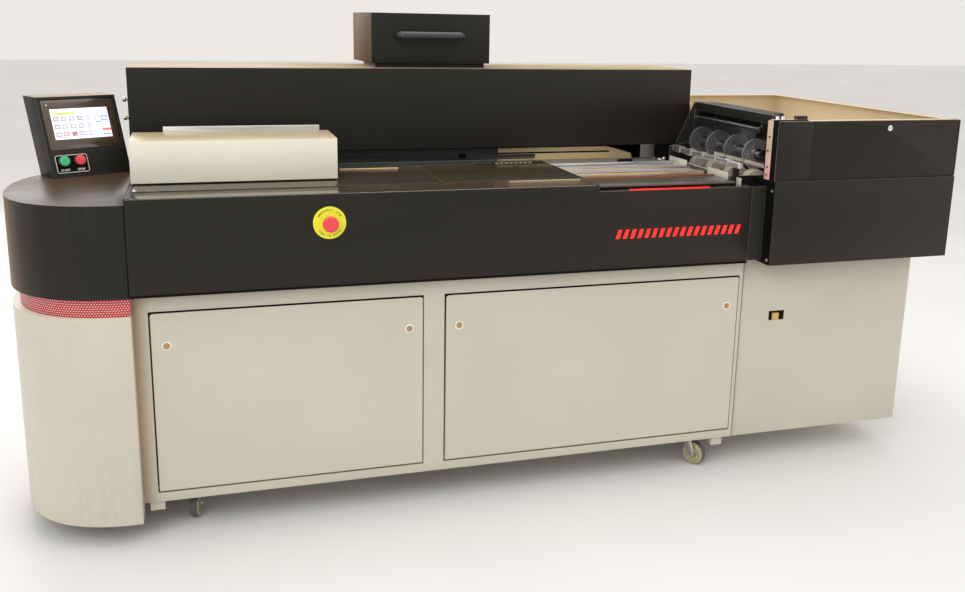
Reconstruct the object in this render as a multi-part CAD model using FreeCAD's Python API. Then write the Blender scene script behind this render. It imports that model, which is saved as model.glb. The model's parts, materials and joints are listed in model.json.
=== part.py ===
"""Perfect binding machine: floor-standing, one book clamp, glue station, nip station and cover feeder.

While it is built, X runs right from the seam beside the rounded left pod, Y runs back from the
face of the black front cover, and Z runs up from the floor. The last step moves everything so
that the origin is the middle of the floor plan. All lengths are millimetres.
"""
import FreeCAD, Part
import math
import os

V = FreeCAD.Vector
ALONG_X = V(1, 0, 0)
ALONG_Y = V(0, 1, 0)
ALONG_Z = V(0, 0, 1)

# ---- overall heights, lengths and depths ----
table_top = 990.0
cabinet_bottom = 100.0
cabinet_top = 720.0
cabinet_length = 1886.0
cabinet_front = 50.0
machine_depth = 880.0
sheet = 2.0
cover_sheet = 2.5
slip = 0.3            # gap between bodies that pass each other
running = 0.05        # radial clearance of a shaft in its bore

# ---- welded frame inside the cabinet ----
bar = 36.0
upright_front = 80.0
middle_upright_x = cabinet_length - 1056.0
frame_inset = 6.0
rail_top = table_top - 48.0
beam_bottom = table_top + 40.0
shelf_bottom = 700.0
shelf_thick = 8.0

# ---- cabinet doors ----
door_bottom = 132.0
door_top = cabinet_top - 57.0
left_door_left = 44.0
left_door_right = middle_upright_x - 17.0
right_door_left = middle_upright_x + 52.0
right_door_right = cabinet_length - 16.0
door_gap = 3.0
door_bottom_gap = 5.0
door_proud = 3.0
door_depth = 20.0
door_corner = 10.0
jamb_depth = 20.0
door_pivot = 9.0
pin_radius = 4.0
lock_inset = 42.0
lock_drop = 96.0
lock_radius = 14.0
lock_shaft = 6.0
cam_length = 53.0
cam_thick = 3.0
cam_gap = 1.0

# ---- rounded pod at the left end ----
pod_width = 333.0
pod_depth = 690.0
pod_power = 2.4
pod_bottom = 62.0
pod_top = table_top - 16.0
grille_bottom = cabinet_top - 54.0
grille_inset = 20.0
grille_wall = 3.0

# ---- front cover and table ----
front_cover_length = cabinet_length - 23.0
front_cover_bottom = cabinet_top
low_step_x = cabinet_length - 544.0
glue_slot_x = low_step_x - 178.0
mill_slot_x = glue_slot_x - 200.0
plate_seam_x = mill_slot_x - 73.0
low_step_drop = 22.0
flange_depth = 120.0
low_flange_depth = 22.0
plate_thick = 8.0
table_back = 530.0
fascia_bottom = table_top - 40.0
fascia_top = table_top + 34.0
home_sensor_x = mill_slot_x + 88.0
spine_y = 445.0
mill_slot_length = 114.0
mill_slot_width = 18.0
glue_slot_length = 164.0
glue_slot_width = 16.0

# ---- emergency stop on the front cover ----
estop_x = 535.0
estop_z = table_top - 83.0
estop_disc_radius = 46.0
estop_disc_thick = 3.0
estop_head_radius = 22.0
estop_head_thick = 18.0
estop_head_gap = 15.0
estop_stem_radius = 8.0
estop_tip_radius = 5.0
estop_neck_radius = 12.0

# ---- row of status lamps on the front cover ----
lamp_count = 18
lamp_first_x = low_step_x + 60.0
lamp_pitch = 24.0
lamp_bottom = cabinet_top + 100.0
lamp_height = 28.0
lamp_width = 12.0
lamp_lean = 9.0
lamp_proud = 1.5
lens_left = low_step_x + 105.0
lens_length = 269.0
lens_front = 6.0
lens_width = 8.0
lens_thick = 3.0

# ---- long rear housing over the clamp drive ----
wall_left = -6.0
wall_right = cabinet_length + 26.0
wall_front = 540.0
wall_bottom = table_top + 47.0
wall_top = wall_bottom + 266.0
hood_left = 760.0
melter_cut_x = hood_left + 40.0
melter_cut_length = 330.0
melter_cut_y = 640.0
melter_cut_depth = machine_depth - 690.0
end_bolt_radius = 6.0
end_bolt_reach = 15.0
end_bolt_z = (1145.0, 1202.0)
end_bolt_y = 600.0

# ---- glue hood on top of the rear housing ----
hood_length = 408.0
hood_front = 600.0
hood_back = machine_depth - 12.0
hood_bottom = wall_top + 15.0
hood_top = hood_bottom + 164.0
hood_flare = 18.0
collar_inset = 15.0
collar_wall = 12.0
hood_pin_radius = 4.0
handle_x = hood_left + 195.0
handle_span = 212.0
handle_z = hood_bottom + 92.0
handle_reach = 44.0
handle_radius = 13.0

# ---- clamp carriage, its beam and its drive ----
beam_front = 650.0
beam_thick = 24.0
beam_top = beam_bottom + 160.0
beam_left = 10.0
beam_right = cabinet_length + 9.0
rail_size = 18.0
lower_rail_z = beam_bottom + 18.0
upper_rail_z = lower_rail_z + 104.0
carriage_left = 60.0
carriage_right = 540.0
carriage_front = 600.0
carriage_plate_thick = 14.0
arm_bottom = table_top + 12.0
arm_top = arm_bottom + 26.0
block_length = 70.0
block_wall = 10.0
screw_radius = 9.0
screw_y = 631.0
screw_left = 20.0
screw_seat = 6.0
gearbox_left = cabinet_length - 121.0
gearbox_length = 62.0

# ---- book clamp ----
clamp_left = 8.0
clamp_right = 590.0
clamp_front = 219.0
clamp_bottom = table_top + 5.0
clamp_top = clamp_bottom + 121.0
jaw_left = 95.0
jaw_right = 565.0
jaw_thick = 12.0
rear_jaw_top = clamp_top + 14.0
guide_rod_radius = 7.0
guide_rod_z = clamp_bottom + 55.0
guide_rod_inset = 36.0
carrier_front = 310.0
piston_radius = 7.0

# ---- nip station ----
nip_left = low_step_x + 8.0
nip_right = nip_left + 466.0
nip_gap = 45.0
nip_front_width = 62.0
nip_rear_width = 140.0
nip_top = table_top - 5.0
nip_guide_height = 8.0
bed_thick = 8.0
brown_plate_front = 26.0
brown_plate_width = 121.0
brown_plate_thick = 6.0
tan_shelf_left = low_step_x - 129.0
tan_shelf_right = nip_right - 89.0
tan_shelf_lean = 96.0
tan_shelf_front = beam_front - 28.0
tan_shelf_depth = 18.0
tan_shelf_top = table_top + 32.0
ledge_front = tan_shelf_front - 10.0
profile_front = 268.0
profile_width = 62.0
front_rail_y = 228.0
front_rail_thick = 30.0
back_rail_y = 338.0
back_rail_thick = 14.0
thin_rail_y = 158.0
thin_rail_thick = 8.0
sensor_x = nip_left + 272.0
sensor_length = 50.0

# ---- left edge of the right-hand unit, which the feeder is set from ----
unit_left = front_cover_length + 50.0

# ---- cover feeder ----
feeder_front = 56.0
feeder_back = 508.0
feeder_wall = 6.0
roller_x = unit_left + 32.0
disc_radius = 50.0
disc_z = table_top + 64.0
disc_thick = 8.0
disc_count = 4
drum_radius = 40.0
drum_length = 34.0
feed_shaft_radius = 10.0
guard_pivot_x = roller_x - 17.0
guard_pivot_z = disc_z + 84.0
guard_rod_radius = 4.0
guard_foot_x = roller_x - 72.0
guard_foot_z = disc_z - 10.0
guard_thick = 4.0
feeder_beam_x = roller_x - 15.0
feeder_beam_width = 30.0
feeder_beam_bottom = disc_z + 106.0
feeder_beam_top = feeder_beam_bottom + 30.0
side_rod_x = roller_x - 107.0
side_rod_z = table_top - 10.0
side_rod_radius = 6.0
side_guide_length = 130.0
mouth_bar_x = roller_x - 107.0
mouth_bar_width = 18.0
mouth_bar_bottom = table_top + 28.0
mouth_bar_top = mouth_bar_bottom + 16.0
mouth_bar_front = 52.0
low_arm_top = table_top
front_lobe = 18.0
feed_fence_x = side_rod_x + 14.0
feed_fence_thick = 3.0
feed_fence_top = table_top - 4.0
mouth_clamp_length = 34.0
mouth_clamp_pitch = 84.0

# ---- right-hand unit with the cover pile ----
housing_left = cabinet_length
housing_front = 52.0
housing_back = 1000.0
unit_right = unit_left + 676.0
housing_right = unit_right - 49.0
unit_front = -51.0
unit_back = 1033.0
unit_bottom = cabinet_top
unit_split = table_top
unit_top = unit_split + 186.0
unit_seam_x = unit_left + 122.0
upper_recess = 3.0
filler_lift = 9.0
pile_table_z = unit_split + 2.0
pile_table_left = unit_left + 107.0
flap_depth = 18.0
flap_pivot = 9.0
knob_x = unit_left + 403.0
knob_z = unit_top - 24.0
cutout_x = housing_left + 109.0
cutout_width = 58.0
cutout_z = 503.0
cutout_height = 32.0

# ---- control console on the pod ----
console_x = -225.0
console_y = 481.0
console_turn = 28.5
console_width = 244.0
console_base_depth = 96.0
console_height = 237.0
console_lean = 91.0
console_top_depth = 101.0
recess_bottom = 84.0
recess_top = 247.0
recess_side = 8.0
recess_depth = 8.0
bezel_gap = 3.0
bezel_thick = 6.0
screen_width = 178.0
screen_height = 97.0
screen_lift = 32.0
button_plate_left = 16.0
button_plate_width = 98.0
button_plate_bottom = 14.0
button_plate_height = 56.0
button_plate_thick = 2.0
button_radius = 15.0
button_stem_radius = 6.0
button_lift = 36.0
button_spread = 48.0
button_travel = 4.0

# ---- casters ----
caster_x = (135.0, cabinet_length - 131.0)
caster_y = (110.0, machine_depth - 60.0)
caster_plate = 90.0
caster_plate_thick = 3.0
wheel_radius = 40.0
wheel_width = 24.0
caster_trail = 28.0
kingpin_radius = 6.0
axle_radius = 5.0
caster_turns = {"front_left": 75.0, "front_right": -60.0, "rear_left": 90.0, "rear_right": 90.0}


def block(x0, x1, y0, y1, z0, z1):
    return Part.makeBox(x1 - x0, y1 - y0, z1 - z0, V(x0, y0, z0))


def post(x, y, z, radius, length, axis=ALONG_Z):
    return Part.makeCylinder(radius, length, V(x, y, z), axis)


def folded_box(x0, x1, y0, y1, z0, z1, wall, open_sides):
    """A sheet-metal box whose named sides are open."""
    inner = {
        "left": x0 + wall,
        "right": x1 - wall,
        "front": y0 + wall,
        "back": y1 - wall,
        "bottom": z0 + wall,
        "top": z1 - wall,
    }
    outward = {"left": -1, "right": 1, "front": -1, "back": 1, "bottom": -1, "top": 1}
    for side in open_sides:
        inner[side] += outward[side] * 2 * wall
    core = block(inner["left"], inner["right"], inner["front"], inner["back"],
                 inner["bottom"], inner["top"])
    return block(x0, x1, y0, y1, z0, z1).cut(core)


def join(shapes):
    first = shapes[0]
    return first.multiFuse(shapes[1:]).removeSplitter() if len(shapes) > 1 else first


def group(shapes):
    return Part.makeCompound(shapes)


def plate_from(points, normal, thick):
    """A flat plate with a straight-sided outline, thickened along its normal."""
    outline = Part.makePolygon([V(*p) for p in points] + [V(*points[0])])
    return Part.Face(outline).extrude(V(*normal) * thick)


def round_edges(shape, radius, axis):
    """Round the edges that run along one axis."""
    edges = [e for e in shape.Edges
             if abs(e.tangentAt(e.FirstParameter).dot(axis)) > 0.999 and e.Length > radius]
    return shape.makeFillet(radius, edges)


# ---------------------------------------------------------------- cabinet
cabinet_back = machine_depth
beam_back = beam_front + beam_thick
frame_right = cabinet_length - sheet


front_packer_top = table_top - cover_sheet
plate_bottom = table_top - plate_thick
support_x = (frame_inset, middle_upright_x / 2 + 5, middle_upright_x, glue_slot_x - 64, low_step_x - bar - 4)
mill_x = mill_slot_x + mill_slot_length / 2
glue_left = glue_slot_x - 10.0
glue_right = glue_slot_x + glue_slot_length + 6.0
glue_front = spine_y - 60.0
glue_back = spine_y + 60.0


def frame_bars():
    """Uprights, cross rails and long rails of the welded frame."""
    low = cabinet_bottom
    back = cabinet_back - sheet
    bars = []
    for x in (frame_inset, middle_upright_x, frame_right - bar):
        bars.append(block(x, x + bar, upright_front, upright_front + bar, low, rail_top))
        bars.append(block(x, x + bar, back - bar, back, low, rail_top))
        bars.append(block(x, x + bar, upright_front, back, low, low + bar))
        bars.append(block(x, x + bar, upright_front, back, rail_top - bar, rail_top))
        bars.append(block(x, x + bar, beam_front, beam_back, rail_top, beam_bottom))
    for y in (upright_front, back - bar):
        bars.append(block(frame_inset, frame_right, y, y + bar, low, low + bar))
        bars.append(block(frame_inset, frame_right, y, y + bar, rail_top - bar, rail_top))
    return bars


def table_bars():
    """Bars under the table plates, open round the milling cutter and the glue tank."""
    front = block(frame_inset, low_step_x - 4, upright_front, upright_front + bar, rail_top, front_packer_top)
    back = block(frame_inset, low_step_x - 4, table_back - 8, table_back, rail_top, plate_bottom)
    cross = [block(x, x + bar, upright_front + bar, table_back, rail_top, plate_bottom) for x in support_x]
    bars = join([front, back] + cross)
    tank_room = block(glue_left - 8, low_step_x, glue_front - 8, glue_back + 8, rail_top - 1,
                      plate_bottom + 1)
    mill_room = block(mill_x - 70, mill_x + 70, spine_y - 75, spine_y + 70, rail_top - 1, plate_bottom + 1)
    return [bars.cut(tank_room).cut(mill_room)]


def station_shelf():
    """Shelf across the frame that carries the milling motor and the glue tank."""
    left = middle_upright_x + bar
    right = low_step_x + 58.0
    front = upright_front + bar
    back = cabinet_back - sheet - bar
    top = shelf_bottom + shelf_thick
    parts = [block(left, right, front, back, shelf_bottom, top)]
    for y in (front, back - 8):
        parts.append(block(right - 30, right, y, y + 8, top, rail_top - bar))
    parts.append(block(left - bar, left, front, front + 40, shelf_bottom, top))
    parts.append(block(left - bar, left, back - 40, back, shelf_bottom, top))
    parts.append(block(right - 30, right, upright_front, front + 8, rail_top - bar - 8, rail_top - bar))
    parts.append(block(right - 30, right, back - 8, back + bar, rail_top - bar - 8, rail_top - bar))
    return parts


def foot_blocks():
    size = 40.0
    depth = 30.0
    low = cabinet_bottom - depth
    feet = []
    for x in (frame_inset + 11, frame_right - size - 28):
        feet.append(block(x, x + size, upright_front - 20, upright_front + 20, low, cabinet_bottom))
        feet.append(block(x, x + size, cabinet_back - sheet - size, cabinet_back - sheet, low,
                          cabinet_bottom))
    return feet


def caster_plates():
    """Four plates under the frame; the front two have kingpins."""
    half = caster_plate / 2
    plates = []
    for x in caster_x:
        for y in caster_y:
            plates.append(block(x - half, x + half, y - half, y + half,
                                cabinet_bottom - caster_plate_thick, cabinet_bottom))
        pin_low = crown_top - crown_thick - 1
        plates.append(post(x, caster_y[0], pin_low, kingpin_radius,
                           cabinet_bottom - caster_plate_thick - pin_low))
    return plates


def rear_forks():
    """The rear casters do not turn, so their forks are welded under the frame."""
    forks = []
    for place in ("rear_left", "rear_right"):
        x, y = caster_places[place]
        spacer = post(x, y, crown_top - 1, 24, cabinet_bottom - caster_plate_thick - crown_top + 1)
        forks.append(join([caster_fork(x, y, caster_turns[place], False), spacer]))
    return forks


def base_frame():
    return join(frame_bars() + table_bars() + station_shelf())


def caster_mounts():
    """Feet, caster plates, kingpins and rear forks, bolted under the frame."""
    return group(foot_blocks() + caster_plates() + rear_forks())


def cabinet_floor():
    """Tray on the bottom rails, cut out round the uprights."""
    low = cabinet_bottom + bar
    tray = block(sheet, frame_right, upright_front - 2, cabinet_back - sheet, low, low + sheet)
    for x in (frame_inset, middle_upright_x, frame_right - bar):
        for y in (upright_front, cabinet_back - sheet - bar):
            tray = tray.cut(block(x - slip, x + bar + slip, y - slip, y + bar + slip, low - 1,
                                  low + sheet + 1))
    return tray


doors = {
    "left": (left_door_left, left_door_right),
    "right": (right_door_left, right_door_right),
}


def front_frame():
    y0 = cabinet_front
    face = block(0, cabinet_length, y0, y0 + sheet, cabinet_bottom, cabinet_top)
    parts = [face]
    cuts = []
    for left, right in doors.values():
        x0 = left - door_gap
        x1 = right + door_gap
        z0 = door_bottom - door_bottom_gap
        z1 = door_top + door_gap
        parts.append(block(x0 - sheet, x1 + sheet, y0, y0 + jamb_depth, z0 - sheet, z1 + sheet))
        cuts.append(block(x0, x1, y0 - 1, y0 + jamb_depth + 1, z0, z1))
    frame = join(parts)
    for cut in cuts:
        frame = frame.cut(cut)
    return frame


door_front = cabinet_front - door_proud
door_axis_y = door_front + door_pivot
door_axis_z = door_bottom + door_pivot
lock_z = door_top - lock_drop


def cabinet_door(left, right):
    back = door_front + door_depth
    pan = folded_box(left, right, door_front, back, door_bottom, door_top, sheet, ("back",))
    corner = block(left - 1, right + 1, door_front - 1, back + 1, door_top - door_corner, door_top + 1)
    rounded = Part.makeBox(right - left, door_depth, door_top - door_bottom,
                           V(left, door_front, door_bottom))
    top_edges = [e for e in rounded.Edges
                 if abs(e.tangentAt(0).dot(ALONG_Y)) > 0.999 and e.CenterOfMass.z > door_top - 1]
    rounded = rounded.makeFillet(door_corner, top_edges)
    pan = pan.cut(corner).fuse(pan.common(corner).common(rounded)).removeSplitter()
    for x in (left + lock_inset, right - lock_inset):
        pan = pan.cut(post(x, door_front - 1, lock_z, lock_shaft + running, sheet + 2, ALONG_Y))
    for x in (left - 1, right - sheet - 1):
        pan = pan.cut(post(x, door_axis_y, door_axis_z, pin_radius + running, sheet + 2, ALONG_X))
    return pan


def hinge_pins():
    pins = []
    reach = sheet + door_gap + sheet + 2
    for left, right in doors.values():
        pins.append(post(left - door_gap - sheet, door_axis_y, door_axis_z, pin_radius, reach, ALONG_X))
        start = right + door_gap + sheet - reach
        pins.append(post(start, door_axis_y, door_axis_z, pin_radius, reach, ALONG_X))
    return pins


def quarter_turn_lock(x):
    """Round head on the door face, shaft through it and an upright cam behind the jamb."""
    cam_front = cabinet_front + jamb_depth + cam_gap
    head = post(x, door_front - 3, lock_z, lock_radius, 3 - 0.1, ALONG_Y)
    slot = block(x - 6, x + 6, door_front - 4, door_front - 1.6, lock_z - 1.2, lock_z + 1.2)
    head = head.cut(slot)
    shaft = post(x, door_front - 1, lock_z, lock_shaft, cam_front + cam_thick - door_front + 1, ALONG_Y)
    cam = block(x - 9, x + 9, cam_front, cam_front + cam_thick, lock_z - cam_length, lock_z + 9)
    return join([head, shaft, cam])


louvre_count = 8
louvre_pitch = 22.0
louvre_length = 260.0
louvre_height = 8.0
louvre_bottom = 300.0
louvre_x = (300.0, 1250.0)


def back_panel():
    panel = block(0, cabinet_length, cabinet_back - sheet, cabinet_back, cabinet_bottom, cabinet_top)
    for x in louvre_x:
        for i in range(louvre_count):
            z = louvre_bottom + i * louvre_pitch
            panel = panel.cut(block(x, x + louvre_length, cabinet_back - sheet - 1, cabinet_back + 1,
                                    z, z + louvre_height))
    return panel


def cabinet_shell():
    """Front frame, sides, back and floor tray, with the door hinge pins welded in."""
    y0 = cabinet_front + sheet
    y1 = cabinet_back - sheet
    sides = [
        block(0, sheet, y0, y1, cabinet_bottom, cabinet_top),
        block(frame_right, cabinet_length, y0, y1, cabinet_bottom, cabinet_top),
    ]
    front = join([front_frame()] + hinge_pins())
    return group([front, back_panel(), cabinet_floor()] + sides)


# ---------------------------------------------------------------- pod
def pod_outline(inset, z, right=0.0):
    """Half of a rounded square seen from above, closed along the pod's right side."""
    half_depth = pod_depth / 2 - inset
    width = pod_width - inset
    steps = 24
    points = []
    for i in range(steps + 1):
        angle = math.pi * i / steps
        along = abs(math.sin(angle)) ** (2 / pod_power)
        across = math.copysign(abs(math.cos(angle)) ** (2 / pod_power), math.cos(angle))
        points.append(V(-width * along, pod_depth / 2 - half_depth * across, z))
    points[0] = V(0, inset, z)
    points[-1] = V(0, pod_depth - inset, z)
    curve = Part.BSplineCurve()
    curve.interpolate(points)
    edges = [curve.toShape()]
    if right == 0.0:
        edges.append(Part.makeLine(points[-1], points[0]))
    else:
        edges.append(Part.makeLine(points[-1], V(right, points[-1].y, z)))
        edges.append(Part.makeLine(V(right, points[-1].y, z), V(right, points[0].y, z)))
        edges.append(Part.makeLine(V(right, points[0].y, z), points[0]))
    return Part.Face(Part.Wire(edges))


def pod_solid(inset, z0, z1):
    return pod_outline(inset, z0).extrude(V(0, 0, z1 - z0))


def lower_pod():
    hollow = pod_solid(cover_sheet, pod_bottom - 1, grille_bottom - cover_sheet)
    hollow = hollow.cut(block(-cover_sheet, 1, -1, pod_depth + 1, pod_bottom - 2, grille_bottom))
    return pod_solid(0, pod_bottom, grille_bottom).cut(hollow)


def pod_grille():
    ring = pod_solid(grille_inset, grille_bottom, cabinet_top)
    hollow = pod_solid(grille_inset + grille_wall, grille_bottom - 1, cabinet_top + 1)
    return ring.cut(hollow.cut(block(-grille_wall, 1, -1, pod_depth + 1, 0, table_top)))


def upper_pod():
    floor = pod_solid(0, cabinet_top, cabinet_top + cover_sheet)
    shell = pod_solid(0, cabinet_top, pod_top)
    hollow = pod_solid(cover_sheet, cabinet_top + cover_sheet, pod_top - cover_sheet)
    hollow = hollow.cut(block(-cover_sheet, 1, -1, pod_depth + 1, 0, table_top))
    shell = shell.cut(hollow)
    wire_hole = post(-pod_width / 2, pod_depth / 2, cabinet_top - 1, 60, cover_sheet + 2)
    return shell.fuse(floor).removeSplitter().cut(wire_hole)


# ---------------------------------------------------------------- front cover and table
def front_cover():
    t = cover_sheet
    low_top = table_top - low_step_drop
    face = block(0, front_cover_length, 0, t, front_cover_bottom, table_top)
    parts = [
        face,
        block(0, front_cover_length, 0, cabinet_front + sheet, front_cover_bottom, front_cover_bottom + t),
        block(0, low_step_x, 0, flange_depth, table_top - t, table_top),
        block(low_step_x, front_cover_length, 0, low_flange_depth, low_top - t, low_top),
        block(0, t, 0, cabinet_front, front_cover_bottom, table_top),
        block(front_cover_length - t, front_cover_length, 0, cabinet_front, front_cover_bottom, low_top),
        block(low_step_x - t, low_step_x, 0, flange_depth, low_top - t, table_top),
    ]
    cover = join(parts)
    cover = cover.cut(block(low_step_x, front_cover_length + 1, -1, t + 1, low_top, table_top + 1))
    return cover.cut(post(estop_x, -1, estop_z, estop_neck_radius + slip, t + 2, ALONG_Y))


def table_plate(x0, x1):
    return block(x0, x1, flange_depth + 0.5, table_back, plate_bottom, table_top)


def table_plate_left():
    return table_plate(0, plate_seam_x - 0.5)


def table_plate_middle():
    plate = table_plate(plate_seam_x + 0.5, low_step_x)
    mill = block(mill_slot_x, mill_slot_x + mill_slot_length, spine_y - mill_slot_width / 2,
                 spine_y + mill_slot_width / 2, plate_bottom - 1, table_top + 1)
    glue = block(glue_slot_x, glue_slot_x + glue_slot_length, spine_y - glue_slot_width / 2,
                 spine_y + glue_slot_width / 2, plate_bottom - 1, table_top + 1)
    return plate.cut(mill).cut(glue)


def rear_fascia():
    """Dark strip seen through the slot under the rear housing, with the clamp's home sensor."""
    right = tan_shelf_left - 2
    strip = block(cover_sheet, right, tan_shelf_front, tan_shelf_front + tan_shelf_depth, fascia_bottom,
                  fascia_top)
    home = block(home_sensor_x, home_sensor_x + 22, tan_shelf_front - 6, tan_shelf_front,
                 table_top - 2, table_top + 14)
    foot = block(cover_sheet, right, table_back, tan_shelf_front, fascia_bottom, fascia_bottom + 3)
    return join([strip, home, foot])


def table_plates():
    return group([table_plate_left(), table_plate_middle(), rear_fascia()])


# ---------------------------------------------------------------- emergency stop and lamps
def estop_base():
    """Yellow disc and collar in front, neck through the cover, contact block behind it."""
    disc = post(estop_x, -estop_disc_thick, estop_z, estop_disc_radius, estop_disc_thick, ALONG_Y)
    collar = post(estop_x, -estop_disc_thick - 2, estop_z, estop_head_radius - 5, 3, ALONG_Y)
    neck = post(estop_x, -1, estop_z, estop_neck_radius, cover_sheet + 2, ALONG_Y)
    box = block(estop_x - 22, estop_x + 22, cover_sheet, 42, estop_z - 22, estop_z + 22)
    bore = post(estop_x, -20, estop_z, estop_stem_radius + running, 50, ALONG_Y)
    return join([disc, collar, neck, box]).cut(bore)


estop_head_front = -(estop_disc_thick + estop_head_gap + estop_head_thick)
estop_head_back = estop_head_front + estop_head_thick


def estop_stem():
    shoulder = estop_head_back + slip
    wide = post(estop_x, shoulder, estop_z, estop_stem_radius, 14 - shoulder, ALONG_Y)
    tip = post(estop_x, estop_head_back - 9, estop_z, estop_tip_radius, 10, ALONG_Y)
    return wide.fuse(tip).removeSplitter()


def estop_head():
    head = post(estop_x, estop_head_front, estop_z, estop_head_radius, estop_head_thick, ALONG_Y)
    front = [e for e in head.Edges if abs(e.CenterOfMass.y - estop_head_front) < 0.01]
    head = head.makeFillet(5, front)
    bore = post(estop_x, estop_head_back - 10, estop_z, estop_tip_radius + running, 11, ALONG_Y)
    return head.cut(bore)


def status_lights():
    """A row of slanted lamps on the front cover and the lens strip on its low flange."""
    lights = []
    for i in range(lamp_count):
        x = lamp_first_x + i * lamp_pitch
        outline = [
            (x, 0, lamp_bottom),
            (x + lamp_width, 0, lamp_bottom),
            (x + lamp_width + lamp_lean, 0, lamp_bottom + lamp_height),
            (x + lamp_lean, 0, lamp_bottom + lamp_height),
        ]
        lights.append(plate_from(outline, (0, -1, 0), lamp_proud))
    flange = table_top - low_step_drop
    lights.append(block(lens_left, lens_left + lens_length, lens_front, lens_front + lens_width,
                        flange, flange + lens_thick))
    return group(lights)


# ---------------------------------------------------------------- rear housing and hood
def rear_cover():
    """Back cover down to the cabinet, and the end panel above the pod."""
    back = block(0, cabinet_length, cabinet_back - sheet, cabinet_back, cabinet_top, wall_bottom + 1)
    end = block(0, cover_sheet, pod_depth, cabinet_back, cabinet_top, wall_bottom)
    slot_end = block(0, cover_sheet, table_back + 0.5, pod_depth + 1, cabinet_top, wall_bottom)
    return [back, end, slot_end]


def rear_housing():
    shell = folded_box(wall_left, wall_right, wall_front, machine_depth, wall_bottom, wall_top,
                       cover_sheet, ("bottom",))
    opening = block(melter_cut_x, melter_cut_x + melter_cut_length, melter_cut_y,
                    melter_cut_y + melter_cut_depth, wall_top - cover_sheet - 1, wall_top + 1)
    bolts = []
    for z in end_bolt_z:
        bolts.append(post(wall_left - end_bolt_reach, end_bolt_y, z, end_bolt_radius,
                          end_bolt_reach + 1, ALONG_X))
        bolts.append(post(wall_left - end_bolt_reach, end_bolt_y, z, end_bolt_radius + 3, 6, ALONG_X))
    return join([shell.cut(opening), hood_collar()] + rear_cover() + hood_hinges() + bolts)


hood_right = hood_left + hood_length
hinge_y = hood_back + 7.0
hinge_z = hood_bottom - 3.0


def hood_collar():
    x0 = hood_left + collar_inset
    x1 = hood_right - collar_inset
    y0 = hood_front + collar_inset
    y1 = hood_back - collar_inset
    ring = block(x0, x1, y0, y1, wall_top, hood_bottom - slip)
    return ring.cut(block(x0 + collar_wall, x1 - collar_wall, y0 + collar_wall, y1 - collar_wall,
                          wall_top - 1, hood_bottom + 1))


def hood_prism(inset, z0, z1):
    """The hood is a little wider at its back than at its front."""
    flare = hood_flare
    points = [
        (hood_left + inset, hood_front + inset, z0),
        (hood_right - inset, hood_front + inset, z0),
        (hood_right + flare - inset, hood_back - inset, z0),
        (hood_left - flare + inset, hood_back - inset, z0),
    ]
    return plate_from(points, (0, 0, 1), z1 - z0)


def hood():
    shell = hood_prism(0, hood_bottom, hood_top).cut(
        hood_prism(cover_sheet, hood_bottom - 1, hood_top - cover_sheet))
    bore = hood_pin_radius + running
    for x in (hood_left + 30, hood_right - 70):
        ear = block(x, x + 40, hood_back - 1, hinge_y, hinge_z - 7, hinge_z + 7)
        ear = ear.fuse(post(x, hinge_y, hinge_z, 7, 40, ALONG_X))
        ear = ear.cut(block(x - 1, x + 41, 0, hood_back + 1, 0, hood_bottom))
        shell = shell.fuse(ear).cut(post(x - 1, hinge_y, hinge_z, bore, 42, ALONG_X))
    return shell.removeSplitter()


def hood_hinges():
    """Two pins in lugs that stand on the rear housing behind the hood."""
    shapes = []
    size = 4.4
    for x in (hood_left + 30, hood_right - 70):
        shapes.append(post(x - 6, hinge_y, hinge_z, hood_pin_radius, 52, ALONG_X))
        for lug_x in (x - 6, x + 40.5):
            shapes.append(block(lug_x, lug_x + 5.5, hinge_y - size, hinge_y + size, wall_top - 1,
                                hinge_z + size))
    return shapes


def hood_handle():
    y = hood_front - handle_reach
    x0 = handle_x - handle_span / 2
    x1 = handle_x + handle_span / 2
    bend = 20.0
    start = V(x0, hood_front, handle_z)
    path = Part.Wire([
        Part.makeLine(start, V(x0, y + bend, handle_z)),
        Part.Arc(V(x0, y + bend, handle_z),
                 V(x0 + bend * (1 - math.sqrt(0.5)), y + bend * (1 - math.sqrt(0.5)), handle_z),
                 V(x0 + bend, y, handle_z)).toShape(),
        Part.makeLine(V(x0 + bend, y, handle_z), V(x1 - bend, y, handle_z)),
        Part.Arc(V(x1 - bend, y, handle_z),
                 V(x1 - bend * (1 - math.sqrt(0.5)), y + bend * (1 - math.sqrt(0.5)), handle_z),
                 V(x1, y + bend, handle_z)).toShape(),
        Part.makeLine(V(x1, y + bend, handle_z), V(x1, hood_front, handle_z)),
    ])
    circle = Part.Wire([Part.makeCircle(handle_radius, start, ALONG_Y)])
    return path.makePipeShell([circle], True, False)


def glue_melter():
    """Melting tank for the glue, under the hood, on feet that stand on the beam."""
    x0 = melter_cut_x + 20
    x1 = melter_cut_x + melter_cut_length - 20
    y0 = melter_cut_y + 10
    y1 = melter_cut_y + melter_cut_depth - 10
    tank = folded_box(x0, x1, y0, y1, beam_top, hood_bottom + 60, 8, ("top",))
    lid = block(x0 - 6, x1 + 6, y0 - 6, y1 + 6, hood_bottom + 60, hood_bottom + 72)
    knob = post((x0 + x1) / 2, (y0 + y1) / 2, hood_bottom + 72, 14, 24)
    return join([tank, lid, knob])


# ---------------------------------------------------------------- carriage and drive
rail_front = beam_front - rail_size
screw_z = (lower_rail_z + upper_rail_z + rail_size) / 2
rail_right = gearbox_left - 20.0


def beam_rails():
    rails = []
    for z in (lower_rail_z, upper_rail_z):
        rails.append(block(beam_left, rail_right, rail_front, beam_front + 1, z, z + rail_size))
    return rails


def screw_bearing():
    """Left end bearing of the drive screw, on the beam's face."""
    seat = block(beam_left + 4, beam_left + 24, screw_y - 18, beam_front + 1, screw_z - 20, screw_z + 20)
    return seat.cut(post(0, screw_y, screw_z, screw_seat + running, 100, ALONG_X))


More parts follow.
